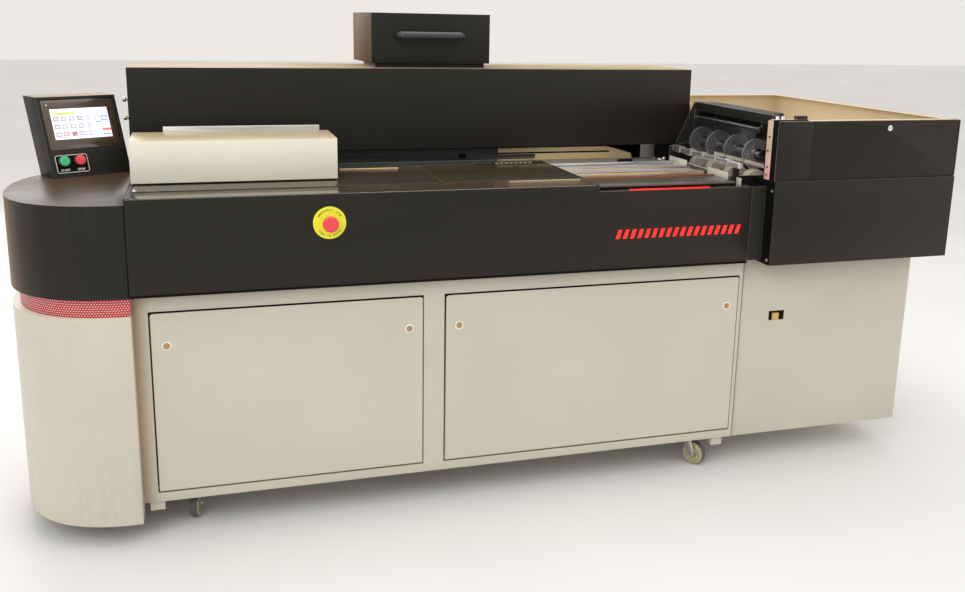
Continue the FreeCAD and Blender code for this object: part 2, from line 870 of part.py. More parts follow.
def housing_brackets():
    """Brackets behind the beam that carry the rear housing."""
    links = []
    inner_back = machine_depth - cover_sheet
    inner_top = wall_top - cover_sheet
    for x in (beam_left + 4, middle_upright_x - 130, beam_right - 30):
        links.append(block(x, x + 26, beam_back - 1, inner_back, beam_top - 30, beam_top - 24))
        links.append(block(x, x + 26, inner_back - 6, inner_back, beam_top - 30, inner_top))
        links.append(block(x, x + 26, wall_front + cover_sheet, inner_back, inner_top - 6, inner_top))
    return links


def melter_shelf():
    return block(melter_cut_x + 30, melter_cut_x + melter_cut_length - 30, beam_back - 1, 820,
                 beam_top - 6, beam_top)


def carriage_beam():
    beam = block(beam_left, beam_right, beam_front, beam_back, beam_bottom, beam_top)
    return join([beam, screw_bearing(), melter_shelf()] + beam_rails() + housing_brackets())


plate_back = carriage_front + carriage_plate_thick


def bearing_blocks():
    blocks = []
    for z in (lower_rail_z, upper_rail_z):
        for x in (carriage_left + 15, carriage_right - 15 - block_length):
            body = block(x, x + block_length, plate_back - 1, beam_front - 6, z - block_wall,
                         z + rail_size + block_wall)
            channel = block(x - 1, x + block_length + 1, rail_front - slip, beam_front,
                            z - slip, z + rail_size + slip)
            blocks.append(body.cut(channel))
    return blocks


def screw_nut():
    nut = block(280, 330, plate_back - 1, screw_y + 16, screw_z - 18, screw_z + 18)
    return nut.cut(post(200, screw_y, screw_z, screw_radius + running, 200, ALONG_X))


lug_left = clamp_left + guide_rod_inset
lug_right = clamp_right - guide_rod_inset + 22
bridge_front = spine_y + 18.0
bridge_back = bridge_front + 30.0
rod_x = (lug_left, lug_right)


def clamp_carriage():
    """Plate on four rail blocks, with arms under the rear housing to a bridge behind the jaw."""
    plate = block(carriage_left, carriage_right, carriage_front, plate_back, arm_bottom, upper_rail_z + 34)
    parts = [plate, screw_nut()] + bearing_blocks()
    parts.append(block(clamp_left + 20, clamp_right, bridge_front + 6, bridge_back, arm_bottom, arm_top))
    for x in (carriage_left + 40, carriage_right - 100):
        parts.append(block(x, x + 60, bridge_back - 1, carriage_front + 1, arm_bottom, arm_top))
    for x in rod_x:
        parts.append(block(x - 13, x + 13, bridge_front + 6, bridge_back, arm_bottom, guide_rod_z + 16))
    parts.append(block(jaw_left, jaw_right, bridge_front, bridge_front + 10, arm_bottom, arm_top))
    carriage = join(parts)
    for x in rod_x:
        carriage = carriage.cut(post(x, bridge_front, guide_rod_z, guide_rod_radius, 60, ALONG_Y))
    return carriage


yoke_front = clamp_front + 20.0
yoke_back = yoke_front + 16.0
cylinder_x = (clamp_left + clamp_right) / 2


def clamp_rods():
    """Two guide rods and the piston rod, joined at the front by the yoke."""
    parts = [block(rod_x[0] - 12, rod_x[1] + 10, yoke_front, yoke_back, guide_rod_z - 16, guide_rod_z + 16)]
    for x in rod_x:
        parts.append(post(x, yoke_front - 6, guide_rod_z, guide_rod_radius,
                          bridge_back - yoke_front + 6, ALONG_Y))
    parts.append(post(cylinder_x, yoke_back - 1, guide_rod_z, piston_radius, 85, ALONG_Y))
    return join(parts)


jaw_front = spine_y - 8.0 - jaw_thick


def front_jaw():
    """Jaw plate on its carrier block, which holds the cylinder bore and the rod bushes."""
    x0 = rod_x[0] - 18
    x1 = clamp_right - sheet
    body = block(x0, x1, carrier_front, jaw_front, clamp_bottom + 12, guide_rod_z + 26)
    plate = block(jaw_left, jaw_right, jaw_front - 1, jaw_front + jaw_thick, clamp_bottom,
                  clamp_top - sheet - 2)
    jaw = body.fuse(plate).removeSplitter()
    for x in rod_x:
        jaw = jaw.cut(post(x, carrier_front - 1, guide_rod_z, guide_rod_radius + running, 200, ALONG_Y))
    return jaw.cut(post(cylinder_x, carrier_front - 1, guide_rod_z, piston_radius + running, 91, ALONG_Y))


def rear_jaw():
    return block(jaw_left, jaw_right, spine_y, bridge_front, clamp_bottom, rear_jaw_top)


def clamp_cover():
    """Cream cover over the front jaw: front, top and sides of one folded sheet."""
    cover = folded_box(clamp_left, clamp_right, clamp_front, spine_y - 9, clamp_bottom, clamp_top,
                       sheet, ("bottom", "back"))
    pads = []
    for x in (lug_left + 60, lug_right - 100):
        pads.append(block(x, x + 40, carrier_front, jaw_front - 1, guide_rod_z + 26, clamp_top - sheet))
    return join([cover] + pads)


def drive_screw():
    right = gearbox_left + 40
    body = post(screw_left + 16, screw_y, screw_z, screw_radius, gearbox_left - 6 - screw_left - 16, ALONG_X)
    ends = post(screw_left, screw_y, screw_z, screw_seat, right - screw_left, ALONG_X)
    return body.fuse(ends).removeSplitter()


def drive_motor():
    """Right-angle gearbox on the beam's face with the motor standing on it."""
    half = 18.0
    x = gearbox_left + gearbox_length / 2
    gearbox = block(gearbox_left, gearbox_left + gearbox_length, screw_y - 24, beam_front, screw_z - 26,
                    screw_z + 30)
    flange = post(x, screw_y - 5, screw_z + 30, half, 8)
    body = post(x, screw_y - 5, screw_z + 38, 23, 110)
    motor = join([gearbox, flange, body])
    return motor.cut(post(gearbox_left - 1, screw_y, screw_z, screw_seat + running, 42, ALONG_X))


# ---------------------------------------------------------------- milling and glue stations
cutter_radius = 52.0
cutter_thick = 14.0
cutter_top = plate_bottom - 2.0
cutter_teeth = 8
spindle_radius = 12.0
motor_top = 930.0


def milling_cutter():
    z0 = cutter_top - cutter_thick
    disc = post(mill_x, spine_y, z0, cutter_radius - 4, cutter_thick)
    parts = [disc]
    for i in range(cutter_teeth):
        tooth = block(mill_x + cutter_radius - 12, mill_x + cutter_radius, spine_y - 5, spine_y + 5,
                      z0 + 2, cutter_top)
        tooth.rotate(V(mill_x, spine_y, 0), ALONG_Z, 360.0 * i / cutter_teeth)
        parts.append(tooth)
    parts.append(post(mill_x, spine_y, motor_top - 30, spindle_radius, z0 - motor_top + 31))
    return join(parts)


def milling_motor():
    shelf = shelf_bottom + shelf_thick
    body = post(mill_x, spine_y, shelf + 12, 62, motor_top - shelf - 12)
    foot = block(mill_x - 70, mill_x + 70, spine_y - 70, spine_y + 70, shelf, shelf + 12)
    motor = body.fuse(foot).removeSplitter()
    return motor.cut(post(mill_x, spine_y, motor_top - 40, spindle_radius + running, 60))


glue_roller_radius = 26.0
glue_roller_z = plate_bottom - 2.0 - glue_roller_radius
glue_roller_x = (glue_left + glue_right) / 2
glue_shaft_radius = 6.0
shelf_top = shelf_bottom + shelf_thick


def glue_tank():
    tank = folded_box(glue_left, glue_right, glue_front, glue_back, 880, glue_roller_z + 12, 6, ("top",))
    legs = [block(x, x + 14, y, y + 14, shelf_top, 881)
            for x in (glue_left, glue_right - 14) for y in (glue_front, glue_back - 14)]
    tank = join([tank] + legs)
    return tank.cut(post(glue_roller_x, glue_front - 1, glue_roller_z, glue_shaft_radius + running, 200,
                         ALONG_Y))


def glue_roller():
    length = glue_back - glue_front
    drum = post(glue_roller_x, glue_front + 8, glue_roller_z, glue_roller_radius, length - 16, ALONG_Y)
    shaft = post(glue_roller_x, glue_front - 4, glue_roller_z, glue_shaft_radius, length + 8, ALONG_Y)
    return drum.fuse(shaft).removeSplitter()


# ---------------------------------------------------------------- nip station
bed_top = rail_top + bed_thick
nip_front_y = spine_y - nip_gap / 2
nip_rear_y = spine_y + nip_gap / 2
bed_front = upright_front - 26.0
bed_right = cabinet_length + 126.0
bed_back = 642.0
feeder_inner_front = feeder_front + 24 + feeder_wall


def nip_bed():
    """Bed plate with two low guides for the bars and a window round the feed drums."""
    main = block(low_step_x, frame_right, bed_front, bed_back, rail_top, bed_top)
    side = block(frame_right - 1, bed_right, bed_front, 530, rail_top, bed_top)
    guides = [block(x, x + 30, back_rail_y + back_rail_thick + 2, bed_back - 36, bed_top - 1,
                    bed_top + nip_guide_height)
              for x in (nip_left + 60, nip_right - 90)]
    window = block(roller_x - drum_radius - 8, roller_x + drum_radius + 8, feeder_inner_front + 1,
                   feeder_back - 2, rail_top - 1, bed_top + 1)
    return join([main, side] + guides).cut(window)


nip_floor = bed_top + nip_guide_height + slip


def nip_front_bar():
    bar_body = block(nip_left, nip_right, nip_front_y - nip_front_width, nip_front_y, nip_floor, nip_top)
    groove = block(nip_left - 1, nip_right + 1, nip_front_y - nip_front_width + 20,
                   nip_front_y - nip_front_width + 28, nip_top - 7, nip_top + 1)
    return bar_body.cut(groove)


def nip_rear_bar():
    bar_body = block(nip_left, nip_right, nip_rear_y, nip_rear_y + nip_rear_width - 8, nip_floor, nip_top - 3)
    lip = block(nip_left, nip_right, nip_rear_y, nip_rear_y + 12, nip_top - 4, nip_top)
    sensor = block(sensor_x, sensor_x + sensor_length, nip_rear_y + 18, nip_rear_y + 40, nip_top - 4,
                   nip_top + 6)
    return join([bar_body, lip, sensor])


def cover_rests():
    """Brown plate in front of the nip station and the tan shelf behind it."""
    plate_top = nip_top - 3
    back = brown_plate_front + brown_plate_width
    top = block(nip_left, nip_right, brown_plate_front, back, plate_top - brown_plate_thick, plate_top)
    legs = [block(nip_left, nip_right, y, y + 6, bed_top, plate_top - brown_plate_thick + 1)
            for y in (bed_front + 2, back - 12)]
    back = tan_shelf_front + tan_shelf_depth
    outline = [
        (tan_shelf_left, back, bed_top),
        (tan_shelf_right, back, bed_top),
        (tan_shelf_right, back, table_top + 5),
        (tan_shelf_right - tan_shelf_lean, back, tan_shelf_top),
        (tan_shelf_left, back, tan_shelf_top),
    ]
    shelf = plate_from(outline, (0, -1, 0), tan_shelf_depth)
    ledge = block(low_step_x, tan_shelf_right, ledge_front, tan_shelf_front + 1, nip_top - 9, nip_top)
    return group([join([top] + legs), join([shelf, ledge])])


def nip_rails():
    """Three copper-coloured rails and a slotted aluminium profile."""
    back = profile_front + profile_width
    top = nip_top - 4
    profile = block(nip_left, nip_right, profile_front, back, bed_top, top)
    for y in (profile_front + 12, back - 20):
        profile = profile.cut(block(nip_left - 1, nip_right + 1, y, y + 8, top - 8, top + 1))
    places = ((thin_rail_y, thin_rail_thick), (front_rail_y, front_rail_thick),
              (back_rail_y, back_rail_thick))
    rails = [block(nip_left, nip_right, y, y + thick, bed_top, nip_top) for y, thick in places]
    return group(rails + [profile])


# ---------------------------------------------------------------- cover feeder
drum_z = disc_z - disc_radius - drum_radius - 0.6


def with_shaft_bores(side, y):
    bores = (
        (roller_x, disc_z, feed_shaft_radius + running),
        (roller_x, drum_z, feed_shaft_radius + running),
    )
    for x, z, radius in bores:
        side = side.cut(post(x, y - 1, z, radius, feeder_wall + 2, ALONG_Y))
    return side


def feeder_back_plate(y):
    outline = [
        (side_rod_x - 12, y, bed_top),
        (bed_right - 4, y, bed_top),
        (bed_right - 4, y, feeder_beam_bottom),
        (guard_pivot_x - 10, y, feeder_beam_bottom),
        (guard_pivot_x - 10, y, guard_foot_z + 4),
        (side_rod_x - 12, y, guard_foot_z - 10),
    ]
    return with_shaft_bores(plate_from(outline, (0, 1, 0), feeder_wall), y)


def feeder_front_plate(y):
    """Narrow front plate with lobes round the shafts, and a low arm out to the mouth bar."""
    low_arm = block(side_rod_x - 12, bed_right - 4, y, y + feeder_wall, bed_top, low_arm_top)
    upstand = block(mouth_bar_x - 2, mouth_bar_x + mouth_bar_width + 4, y, y + feeder_wall,
                    low_arm_top - 1, mouth_bar_bottom)
    column = block(roller_x + 7, bed_right - 4, y, y + feeder_wall, bed_top, feeder_beam_bottom + 1)
    lug = block(guard_pivot_x - 8, roller_x + 8, y, y + feeder_wall, guard_pivot_z - 8, guard_pivot_z + 8)
    head = block(feeder_beam_x, bed_right - 4, y, y + feeder_wall, feeder_beam_bottom - 16,
                 feeder_beam_bottom + 1)
    lobes = [post(roller_x, y, z, front_lobe, feeder_wall, ALONG_Y) for z in (disc_z, drum_z)]
    below = block(side_rod_x - 20, bed_right, y - 1, y + feeder_wall + 1, rail_top - 40, bed_top)
    return with_shaft_bores(join([low_arm, upstand, column, lug, head] + lobes).cut(below), y)


def feeder_beam():
    return folded_box(feeder_beam_x, feeder_beam_x + feeder_beam_width, 20, wall_front - 1,
                      feeder_beam_bottom, feeder_beam_top, 3, ("right",))


def feeder_guard():
    """Smoked guard: a flat sheet with a turned-in lip, hung from a sleeve on the rod."""
    y0 = feeder_inner_front + 2
    length = feeder_back - 2 - y0
    dx = guard_foot_x - guard_pivot_x
    dz = guard_foot_z - guard_pivot_z
    size = math.hypot(dx, dz)
    nx = -dz / size * guard_thick
    nz = dx / size * guard_thick
    outline = [
        (guard_pivot_x - nx * 0.5, y0, guard_pivot_z - nz * 0.5),
        (guard_foot_x - nx * 0.5, y0, guard_foot_z - nz * 0.5),
        (guard_foot_x + nx * 0.5, y0, guard_foot_z + nz * 0.5),
        (guard_pivot_x + nx * 0.5, y0, guard_pivot_z + nz * 0.5),
    ]
    sheet_body = plate_from(outline, (0, 1, 0), length)
    sleeve = post(guard_pivot_x, y0, guard_pivot_z, guard_rod_radius + 4, length, ALONG_Y)
    bore = post(guard_pivot_x, y0 - 1, guard_pivot_z, guard_rod_radius + running, length + 2, ALONG_Y)
    return sheet_body.fuse(sleeve).removeSplitter().cut(bore)


def feed_shaft(z):
    start = feeder_front + 26
    return post(roller_x, start, z, feed_shaft_radius, feeder_back + feeder_wall + 6 - start, ALONG_Y)


disc_first_y = 124.0
disc_pitch = 120.0


def feed_discs():
    """Clear discs with hubs on the upper shaft."""
    parts = [feed_shaft(disc_z)]
    for i in range(disc_count):
        y = disc_first_y + i * disc_pitch
        parts.append(post(roller_x, y, disc_z, disc_radius, disc_thick, ALONG_Y))
        parts.append(post(roller_x, y - 8, disc_z, 18, disc_thick + 16, ALONG_Y))
    return join(parts)


def feed_drums():
    """Cream pressure rollers on the lower shaft, one under each disc."""
    parts = [feed_shaft(drum_z)]
    for i in range(disc_count):
        y = disc_first_y + i * disc_pitch + disc_thick / 2 - drum_length / 2
        parts.append(post(roller_x, y, drum_z, drum_radius, drum_length, ALONG_Y))
    return join(parts)


def feeder_bar():
    """Aluminium bar with clamp blocks along the mouth of the feeder."""
    x0 = mouth_bar_x
    x1 = mouth_bar_x + mouth_bar_width
    parts = [block(x0, x1, mouth_bar_front, feeder_back + 1, mouth_bar_bottom, mouth_bar_top)]
    for i in range(5):
        y = feeder_inner_front + 30 + i * mouth_clamp_pitch
        parts.append(block(x0 - 2, x1 + 4, y, y + mouth_clamp_length, mouth_bar_bottom - 2,
                           mouth_bar_top + 3))
    return parts


def feed_fence():
    """Low cream fence across the feed bed, behind the side guides."""
    return block(feed_fence_x, feed_fence_x + feed_fence_thick, bed_front, feeder_back + 1, bed_top,
                 feed_fence_top)


def feeder_frame():
    """Two side plates, top beam, screen behind the discs, mouth bar, fence and tie rods."""
    start = feeder_front + 24
    length = feeder_back + feeder_wall - start
    rods = [
        post(guard_pivot_x, start, guard_pivot_z, guard_rod_radius, length, ALONG_Y),
        post(side_rod_x, start, side_rod_z, side_rod_radius, length, ALONG_Y),
    ]
    plates = [feeder_front_plate(start), feeder_back_plate(feeder_back)]
    behind = bed_right - 8
    end = feeder_back + feeder_wall
    screen = block(behind, behind + 3, start, end, pile_table_z + 20, feeder_beam_top)
    roof = block(feeder_beam_x + feeder_beam_width - 3, behind + 1, start, end,
                 feeder_beam_top - 3, feeder_beam_top)
    plates = plates + [screen, roof]
    return join(plates + [feeder_beam(), feed_fence()] + rods + feeder_bar())


def side_guide(y0):
    """Cream angle plate on a sleeve block that slides on the side-guide rod."""
    foot = side_rod_z - 18
    x0 = side_rod_x - 14
    face_plate = block(x0, x0 + 3, y0, y0 + side_guide_length, foot, side_rod_z + 20)
    foot_plate = block(x0, side_rod_x + 8, y0, y0 + side_guide_length, foot, foot + 3)
    mid = y0 + side_guide_length / 2
    sleeve = block(x0 + 2, side_rod_x + 10, mid - 22, mid + 22, foot + 3, side_rod_z + 12)
    bore = post(side_rod_x, mid - 30, side_rod_z, side_rod_radius + running, 60, ALONG_Y)
    return join([face_plate, foot_plate, sleeve]).cut(bore)


# ---------------------------------------------------------------- right-hand unit
def right_housing():
    """Beige housing with a small cut-out in front and a brass catch behind it."""
    shell = folded_box(housing_left, housing_right, housing_front, housing_back, cabinet_bottom,
                       unit_bottom, sheet, ())
    window = block(cutout_x, cutout_x + cutout_width, housing_front - 1, housing_front + sheet + 1,
                   cutout_z, cutout_z + cutout_height)
    y = housing_front + sheet
    catch = block(cutout_x + 14, cutout_x + 40, y, y + 6, cutout_z - 12, cutout_z + cutout_height - 8)
    vents = []
    for i in range(louvre_count):
        z = louvre_bottom + i * louvre_pitch
        vents.append(block(housing_left + 200, housing_right - 200, housing_back - sheet - 1,
                           housing_back + 1, z, z + louvre_height))
    shell = shell.cut(window).fuse(catch)
    for vent in vents:
        shell = shell.cut(vent)
    return shell.removeSplitter()


def right_lower_cover():
    """Lower black cover, with a filler strip toward the long front cover."""
    t = cover_sheet
    back = housing_front - 2
    cover = folded_box(unit_left, unit_right, unit_front, back, unit_bottom, unit_split, t, ("back", "top"))
    filler = block(front_cover_length + 1, unit_left + 1, 0, t, unit_bottom + filler_lift,
                   table_top - low_step_drop)
    screws = [post(unit_left - 3, -39, z, 5, 4, ALONG_X) for z in (737.0, 959.0)]
    return join([cover, filler] + screws)


flap_front = unit_front + upper_recess
flap_axis_y = flap_front + flap_pivot
flap_axis_z = unit_split + 1 + flap_pivot


def upper_front_panel():
    """Fixed black panel left of the flap, joined to the right wall by a sill behind the flap."""
    t = cover_sheet
    panel = folded_box(unit_left - 4, unit_seam_x - 1, flap_front, 12, unit_split + 1, unit_top, t,
                       ("back", "bottom"))
    sill = block(unit_left + 4, unit_right - t + 1, flap_front + flap_depth + 6, -6, unit_split + 1,
                 unit_split + 7)
    tab = block(unit_left - 2, unit_seam_x - 2, flap_front + 1, -6, unit_split + 1, unit_split + 4)
    return [panel, sill, tab]


def flap_pins():
    left = post(unit_seam_x - 1 - cover_sheet, flap_axis_y, flap_axis_z, pin_radius, 9, ALONG_X)
    right = post(unit_right - 9, flap_axis_y, flap_axis_z, pin_radius, 9, ALONG_X)
    return [left, right]


def pile_legs():
    legs = []
    for x in (pile_table_left + 20, unit_right - 60):
        for y in (70.0, 960.0):
            legs.append(block(x, x + 24, y, y + 24, unit_bottom + cover_sheet - 1, pile_table_z))
    return legs


def guard_bracket():
    """Bracket with two bright stops on the corner above the feeder beam."""
    plate = block(unit_left + 4, unit_left + 119, -20, 10, unit_top - 1, unit_top + 4)
    arm = block(unit_left + 82, unit_left + 119, -14, 4, unit_top + 3, unit_top + 14)
    stops = [post(unit_left + x, -8, unit_top + 3, 6, 10) for x in (14.0, 34.0)]
    return [plate, arm] + stops


def feeder_body():
    """Black body of the right-hand unit: floor, right side, back, rear left side and front panel."""
    t = cover_sheet
    front = housing_front - 2
    parts = [
        block(unit_left, unit_right, front, unit_back, unit_bottom, unit_bottom + t),
        block(unit_right - t, unit_right, flap_front, unit_back, unit_split + 1, unit_top),
        block(unit_right - t, unit_right, front, unit_back, unit_bottom, unit_split + 2),
        block(unit_left, unit_right, unit_back - t, unit_back, unit_bottom, unit_top),
        block(unit_left, unit_left + t, wall_front + 6, unit_back, unit_bottom, unit_top),
        block(unit_left, unit_left + t, front, wall_front + 7, unit_bottom, rail_top - 30),
    ]
    return join(parts + upper_front_panel() + flap_pins() + pile_legs() + guard_bracket())


flap_left = unit_seam_x + 1
flap_right = unit_right - cover_sheet - 2


def pile_flap():
    """Drop-down flap with its knob."""
    t = cover_sheet
    pan = folded_box(flap_left, flap_right, flap_front, flap_front + flap_depth, unit_split + 1, unit_top,
                     t, ("back",))
    for x in (flap_left - 1, flap_right - t - 1):
        pan = pan.cut(post(x, flap_axis_y, flap_axis_z, pin_radius + running, t + 2, ALONG_X))
    stem = post(knob_x, flap_front - 1, knob_z, 3, 2, ALONG_Y)
    cap = post(knob_x, unit_front, knob_z, 9, flap_front - unit_front, ALONG_Y)
    return join([pan, stem, cap])


pile_front = -4.0
liner_gap = 1.0
liner_front_wall = 56.0


def bin_liner():
    """Cream bin with its floor, open at the left, and with a rim under the unit's top edge."""
    t = sheet
    right = unit_right - cover_sheet - liner_gap
    back = unit_back - cover_sheet - liner_gap
    left = unit_left + 8
    low = pile_table_z
    rim_front = flap_front + flap_depth + 4
    walls = [
        block(pile_table_left, right, pile_front, back, low, low + 4),
        block(left, pile_table_left + 1, wall_front + 10, back, low, low + 4),
        block(right - t, right, pile_front, back, low, unit_top),
        block(left, right, back - t, back, low, unit_top),
        block(left, left + t, wall_front + 10, back, low, unit_top),
        block(pile_table_left + 16, right, pile_front, pile_front + t, unit_top - liner_front_wall, unit_top),
        block(pile_table_left + 16, right, rim_front, pile_front + t, unit_top - t, unit_top),
        block(left, right, back - 30, back, unit_top - t, unit_top),
        block(right - 26, right, pile_front, back, unit_top - t, unit_top),
    ]
    corner = block(pile_table_left - 1, unit_seam_x, pile_front - 1, 12.5, low - 1, low + 5)
    return join(walls).cut(corner)


# ---------------------------------------------------------------- services inside
def control_cabinet():
    """Electrical cabinet in the left bay, on two skids."""
    low = cabinet_bottom + bar + sheet
    left = frame_inset + 114
    right = middle_upright_x - 130
    front = machine_depth - 320
    back = machine_depth - 80
    box = folded_box(left, right, front, back, low + 12, cabinet_top - 100, sheet, ())
    gland = block(left + 260, left + 320, front - 1, front + 3, low + 30, low + 60)
    skids = [block(x, x + 40, front, back, low, low + 13) for x in (left + 20, right - 60)]
    return join([box] + skids).cut(gland)


# ---------------------------------------------------------------- console
console_angle = math.degrees(math.atan2(console_lean, console_height))
slope_length = math.hypot(console_lean, console_height)


def lean_back(shape):
    """From the slanted face's own axes to the machine's."""
    shape.rotate(V(0, 0, 0), ALONG_X, -console_angle)
    return shape


def place_console(shape):
    shape.rotate(V(0, 0, 0), ALONG_Z, console_turn)
    shape.translate(V(console_x, console_y, pod_top))
    return shape


button_z = button_plate_bottom + button_lift
button_x = {
    "start": button_plate_left + button_plate_width / 2 - button_spread / 2,
    "stop": button_plate_left + button_plate_width / 2 + button_spread / 2,
}
button_back = button_travel + button_plate_thick + 1.0
button_thick = 5.0


def console_shell():
    profile = [
        (0, 0, 0),
        (0, console_base_depth, 0),
        (0, console_lean + console_top_depth, console_height),
        (0, console_lean, console_height),
    ]
    body = plate_from(profile, (1, 0, 0), console_width)
    wall = 4.0
    hollow = [
        (0, wall * 3, wall),
        (0, console_base_depth - wall, wall),
        (0, console_lean + console_top_depth - wall * 2, console_height - wall),
        (0, console_lean + wall * 4, console_height - wall),
    ]
    core = plate_from(hollow, (1, 0, 0), console_width - 2 * wall)
    core.translate(V(wall, 0, 0))
    body = body.cut(core)
    recess = block(recess_side, console_width - recess_side, -1, recess_depth, recess_bottom, recess_top)
    body = body.cut(lean_back(recess)).fuse(lean_back(button_plate()))
    for x in button_x.values():
        hole = post(x, -10, button_z, button_stem_radius + running, 50, ALONG_Y)
        body = body.cut(lean_back(hole))
    return place_console(body)


bezel_left = recess_side + bezel_gap
bezel_right = console_width - recess_side - bezel_gap
bezel_bottom = recess_bottom + bezel_gap
bezel_top = recess_top - bezel_gap
screen_left = (console_width - screen_width) / 2
screen_bottom = bezel_bottom + screen_lift


def touch_screen():
    """Bezel with the glass let into it."""
    front = recess_depth - bezel_thick
    bezel = block(bezel_left, bezel_right, front, recess_depth, bezel_bottom, bezel_top)
    cut = block(screen_left, screen_left + screen_width, front - 1, front + 1, screen_bottom,
                screen_bottom + screen_height)
    return place_console(lean_back(bezel.cut(cut)))


def button_plate():
    """Raised plate with a shroud ring round each button."""
    x1 = button_plate_left + button_plate_width
    parts = [block(button_plate_left, x1, -button_plate_thick, 0.5, button_plate_bottom,
                   button_plate_bottom + button_plate_height)]
    for x in button_x.values():
        parts.append(post(x, -button_back - 1, button_z, button_radius + 3, button_back + 1, ALONG_Y))
    plate = join(parts)
    for x in button_x.values():
        plate = plate.cut(post(x, -button_back - 2, button_z, button_radius + slip,
                               button_back + 2 - button_plate_thick, ALONG_Y))
    return plate


def push_button(which):
    x = button_x[which]
    cap = post(x, -button_back - button_thick, button_z, button_radius, button_thick, ALONG_Y)
    stem = post(x, -button_back - 1, button_z, button_stem_radius, button_back + 8, ALONG_Y)
    return place_console(lean_back(cap.fuse(stem).removeSplitter()))


# ---------------------------------------------------------------- casters
crown_top = cabinet_bottom - caster_plate_thick - slip
crown_thick = 8.0
fork_gap = wheel_width / 2 + 2.0
leg_thick = 3.0


def caster_fork(x, y, turn, swivels=True):
    """Crown, two legs and the wheel's axle; the wheel trails along the fork's own X."""
    low = wheel_radius - 10
    crown = post(0, 0, crown_top - crown_thick, 24, crown_thick)
    parts = [crown]
    for side in (-1, 1):
        inner = side * fork_gap if side > 0 else -fork_gap - leg_thick
        outline = [
            (-16, inner, crown_top - crown_thick + 2),
            (caster_trail - 10, inner, low),
            (caster_trail + 10, inner, low),
            (caster_trail + 10, inner, wheel_radius + 12),
            (20, inner, crown_top - crown_thick + 2),
        ]
        parts.append(plate_from(outline, (0, 1, 0), leg_thick))
    axle_length = 2 * (fork_gap + leg_thick) + 6
    parts.append(post(caster_trail, -axle_length / 2, wheel_radius, axle_radius, axle_length, ALONG_Y))
    fork = join(parts)
    if swivels:
        fork = fork.cut(post(0, 0, 0, kingpin_radius + running, 200))
    fork.rotate(V(0, 0, 0), ALONG_Z, turn)
    fork.translate(V(x, y, 0))
    return fork


def caster_wheel(x, y, turn):
    wheel = post(caster_trail, -wheel_width / 2, wheel_radius, wheel_radius, wheel_width, ALONG_Y)
    rims = [e for e in wheel.Edges if abs(e.Length - 2 * math.pi * wheel_radius) < 0.1]
    wheel = wheel.makeFillet(5, rims)
    for side in (-wheel_width / 2 - 1, wheel_width / 2 - 4):
        dish = post(caster_trail, side, wheel_radius, wheel_radius - 12, 5, ALONG_Y)
        hub = post(caster_trail, side, wheel_radius, 10, 5, ALONG_Y)
        wheel = wheel.cut(dish.cut(hub))
    wheel = wheel.cut(post(caster_trail, -50, wheel_radius, axle_radius + running, 100, ALONG_Y))
    wheel.rotate(V(0, 0, 0), ALONG_Z, turn)
    wheel.translate(V(x, y, 0))
    return wheel


caster_places = {
    "front_left": (caster_x[0], caster_y[0]),
    "front_right": (caster_x[1], caster_y[0]),
    "rear_left": (caster_x[0], caster_y[1]),
    "rear_right": (caster_x[1], caster_y[1]),
}


# ---------------------------------------------------------------- all pieces
def build():
    pieces = {
        "base_frame": base_frame(),
        "caster_mounts": caster_mounts(),
        "cabinet_shell": cabinet_shell(),
        "lower_pod": lower_pod(),
        "pod_grille": pod_grille(),
        "upper_pod": upper_pod(),
        "front_cover": front_cover(),
        "table_plates": table_plates(),
        "estop_base": estop_base(),
        "status_lights": status_lights(),
        "rear_housing": rear_housing(),
        "glue_melter": glue_melter(),
        "carriage_beam": carriage_beam(),
        "motors": group([drive_motor(), milling_motor()]),
        "glue_tank": glue_tank(),
        "nip_bed": nip_bed(),
        "cover_rests": cover_rests(),
        "nip_rails": nip_rails(),
        "feeder_frame": feeder_frame(),
        "right_housing": right_housing(),
        "right_lower_cover": right_lower_cover(),
        "feeder_body": feeder_body(),
        "bin_liner": bin_liner(),
        "console_shell": console_shell(),
        "touch_screen": touch_screen(),
        "control_cabinet": control_cabinet(),
        "left_door": cabinet_door(left_door_left, left_door_right),
        "right_door": cabinet_door(right_door_left, right_door_right),
        "hood": hood(),
        "hood_handle": hood_handle(),
        "clamp_carriage": clamp_carriage(),
        "clamp_rods": clamp_rods(),
        "rear_jaw": rear_jaw(),
        "front_jaw": front_jaw(),
        "clamp_cover": clamp_cover(),
        "drive_screw": drive_screw(),
        "milling_cutter": milling_cutter(),
        "glue_roller": glue_roller(),
        "nip_front_bar": nip_front_bar(),
        "nip_rear_bar": nip_rear_bar(),
        "feeder_guard": feeder_guard(),
        "feed_discs": feed_discs(),
        "feed_drums": feed_drums(),
        "front_side_guide": side_guide(90),
        "rear_side_guide": side_guide(372),
        "pile_flap": pile_flap(),
        "start_button": push_button("start"),
        "stop_button": push_button("stop"),
        "estop_stem": estop_stem(),
        "estop_head": estop_head(),
    }
    lock_places = {
        "left_door_left_lock": left_door_left + lock_inset,
        "left_door_right_lock": left_door_right - lock_inset,
        "right_door_left_lock": right_door_left + lock_inset,
        "right_door_right_lock": right_door_right - lock_inset,
    }
    for name, x in lock_places.items():
        pieces[name] = quarter_turn_lock(x)
    for place, (x, y) in caster_places.items():
        turn = caster_turns[place]
        if place.startswith("front"):
            pieces[place + "_fork"] = caster_fork(x, y, turn)
        pieces[place + "_wheel"] = caster_wheel(x, y, turn)
    return pieces


def move_to_origin(pieces):
    """Put the origin in the middle of the floor plan."""
    shift = V((pod_width - unit_right) / 2, -(unit_front + unit_back) / 2, 0)
    for shape in pieces.values():
        shape.translate(shift)


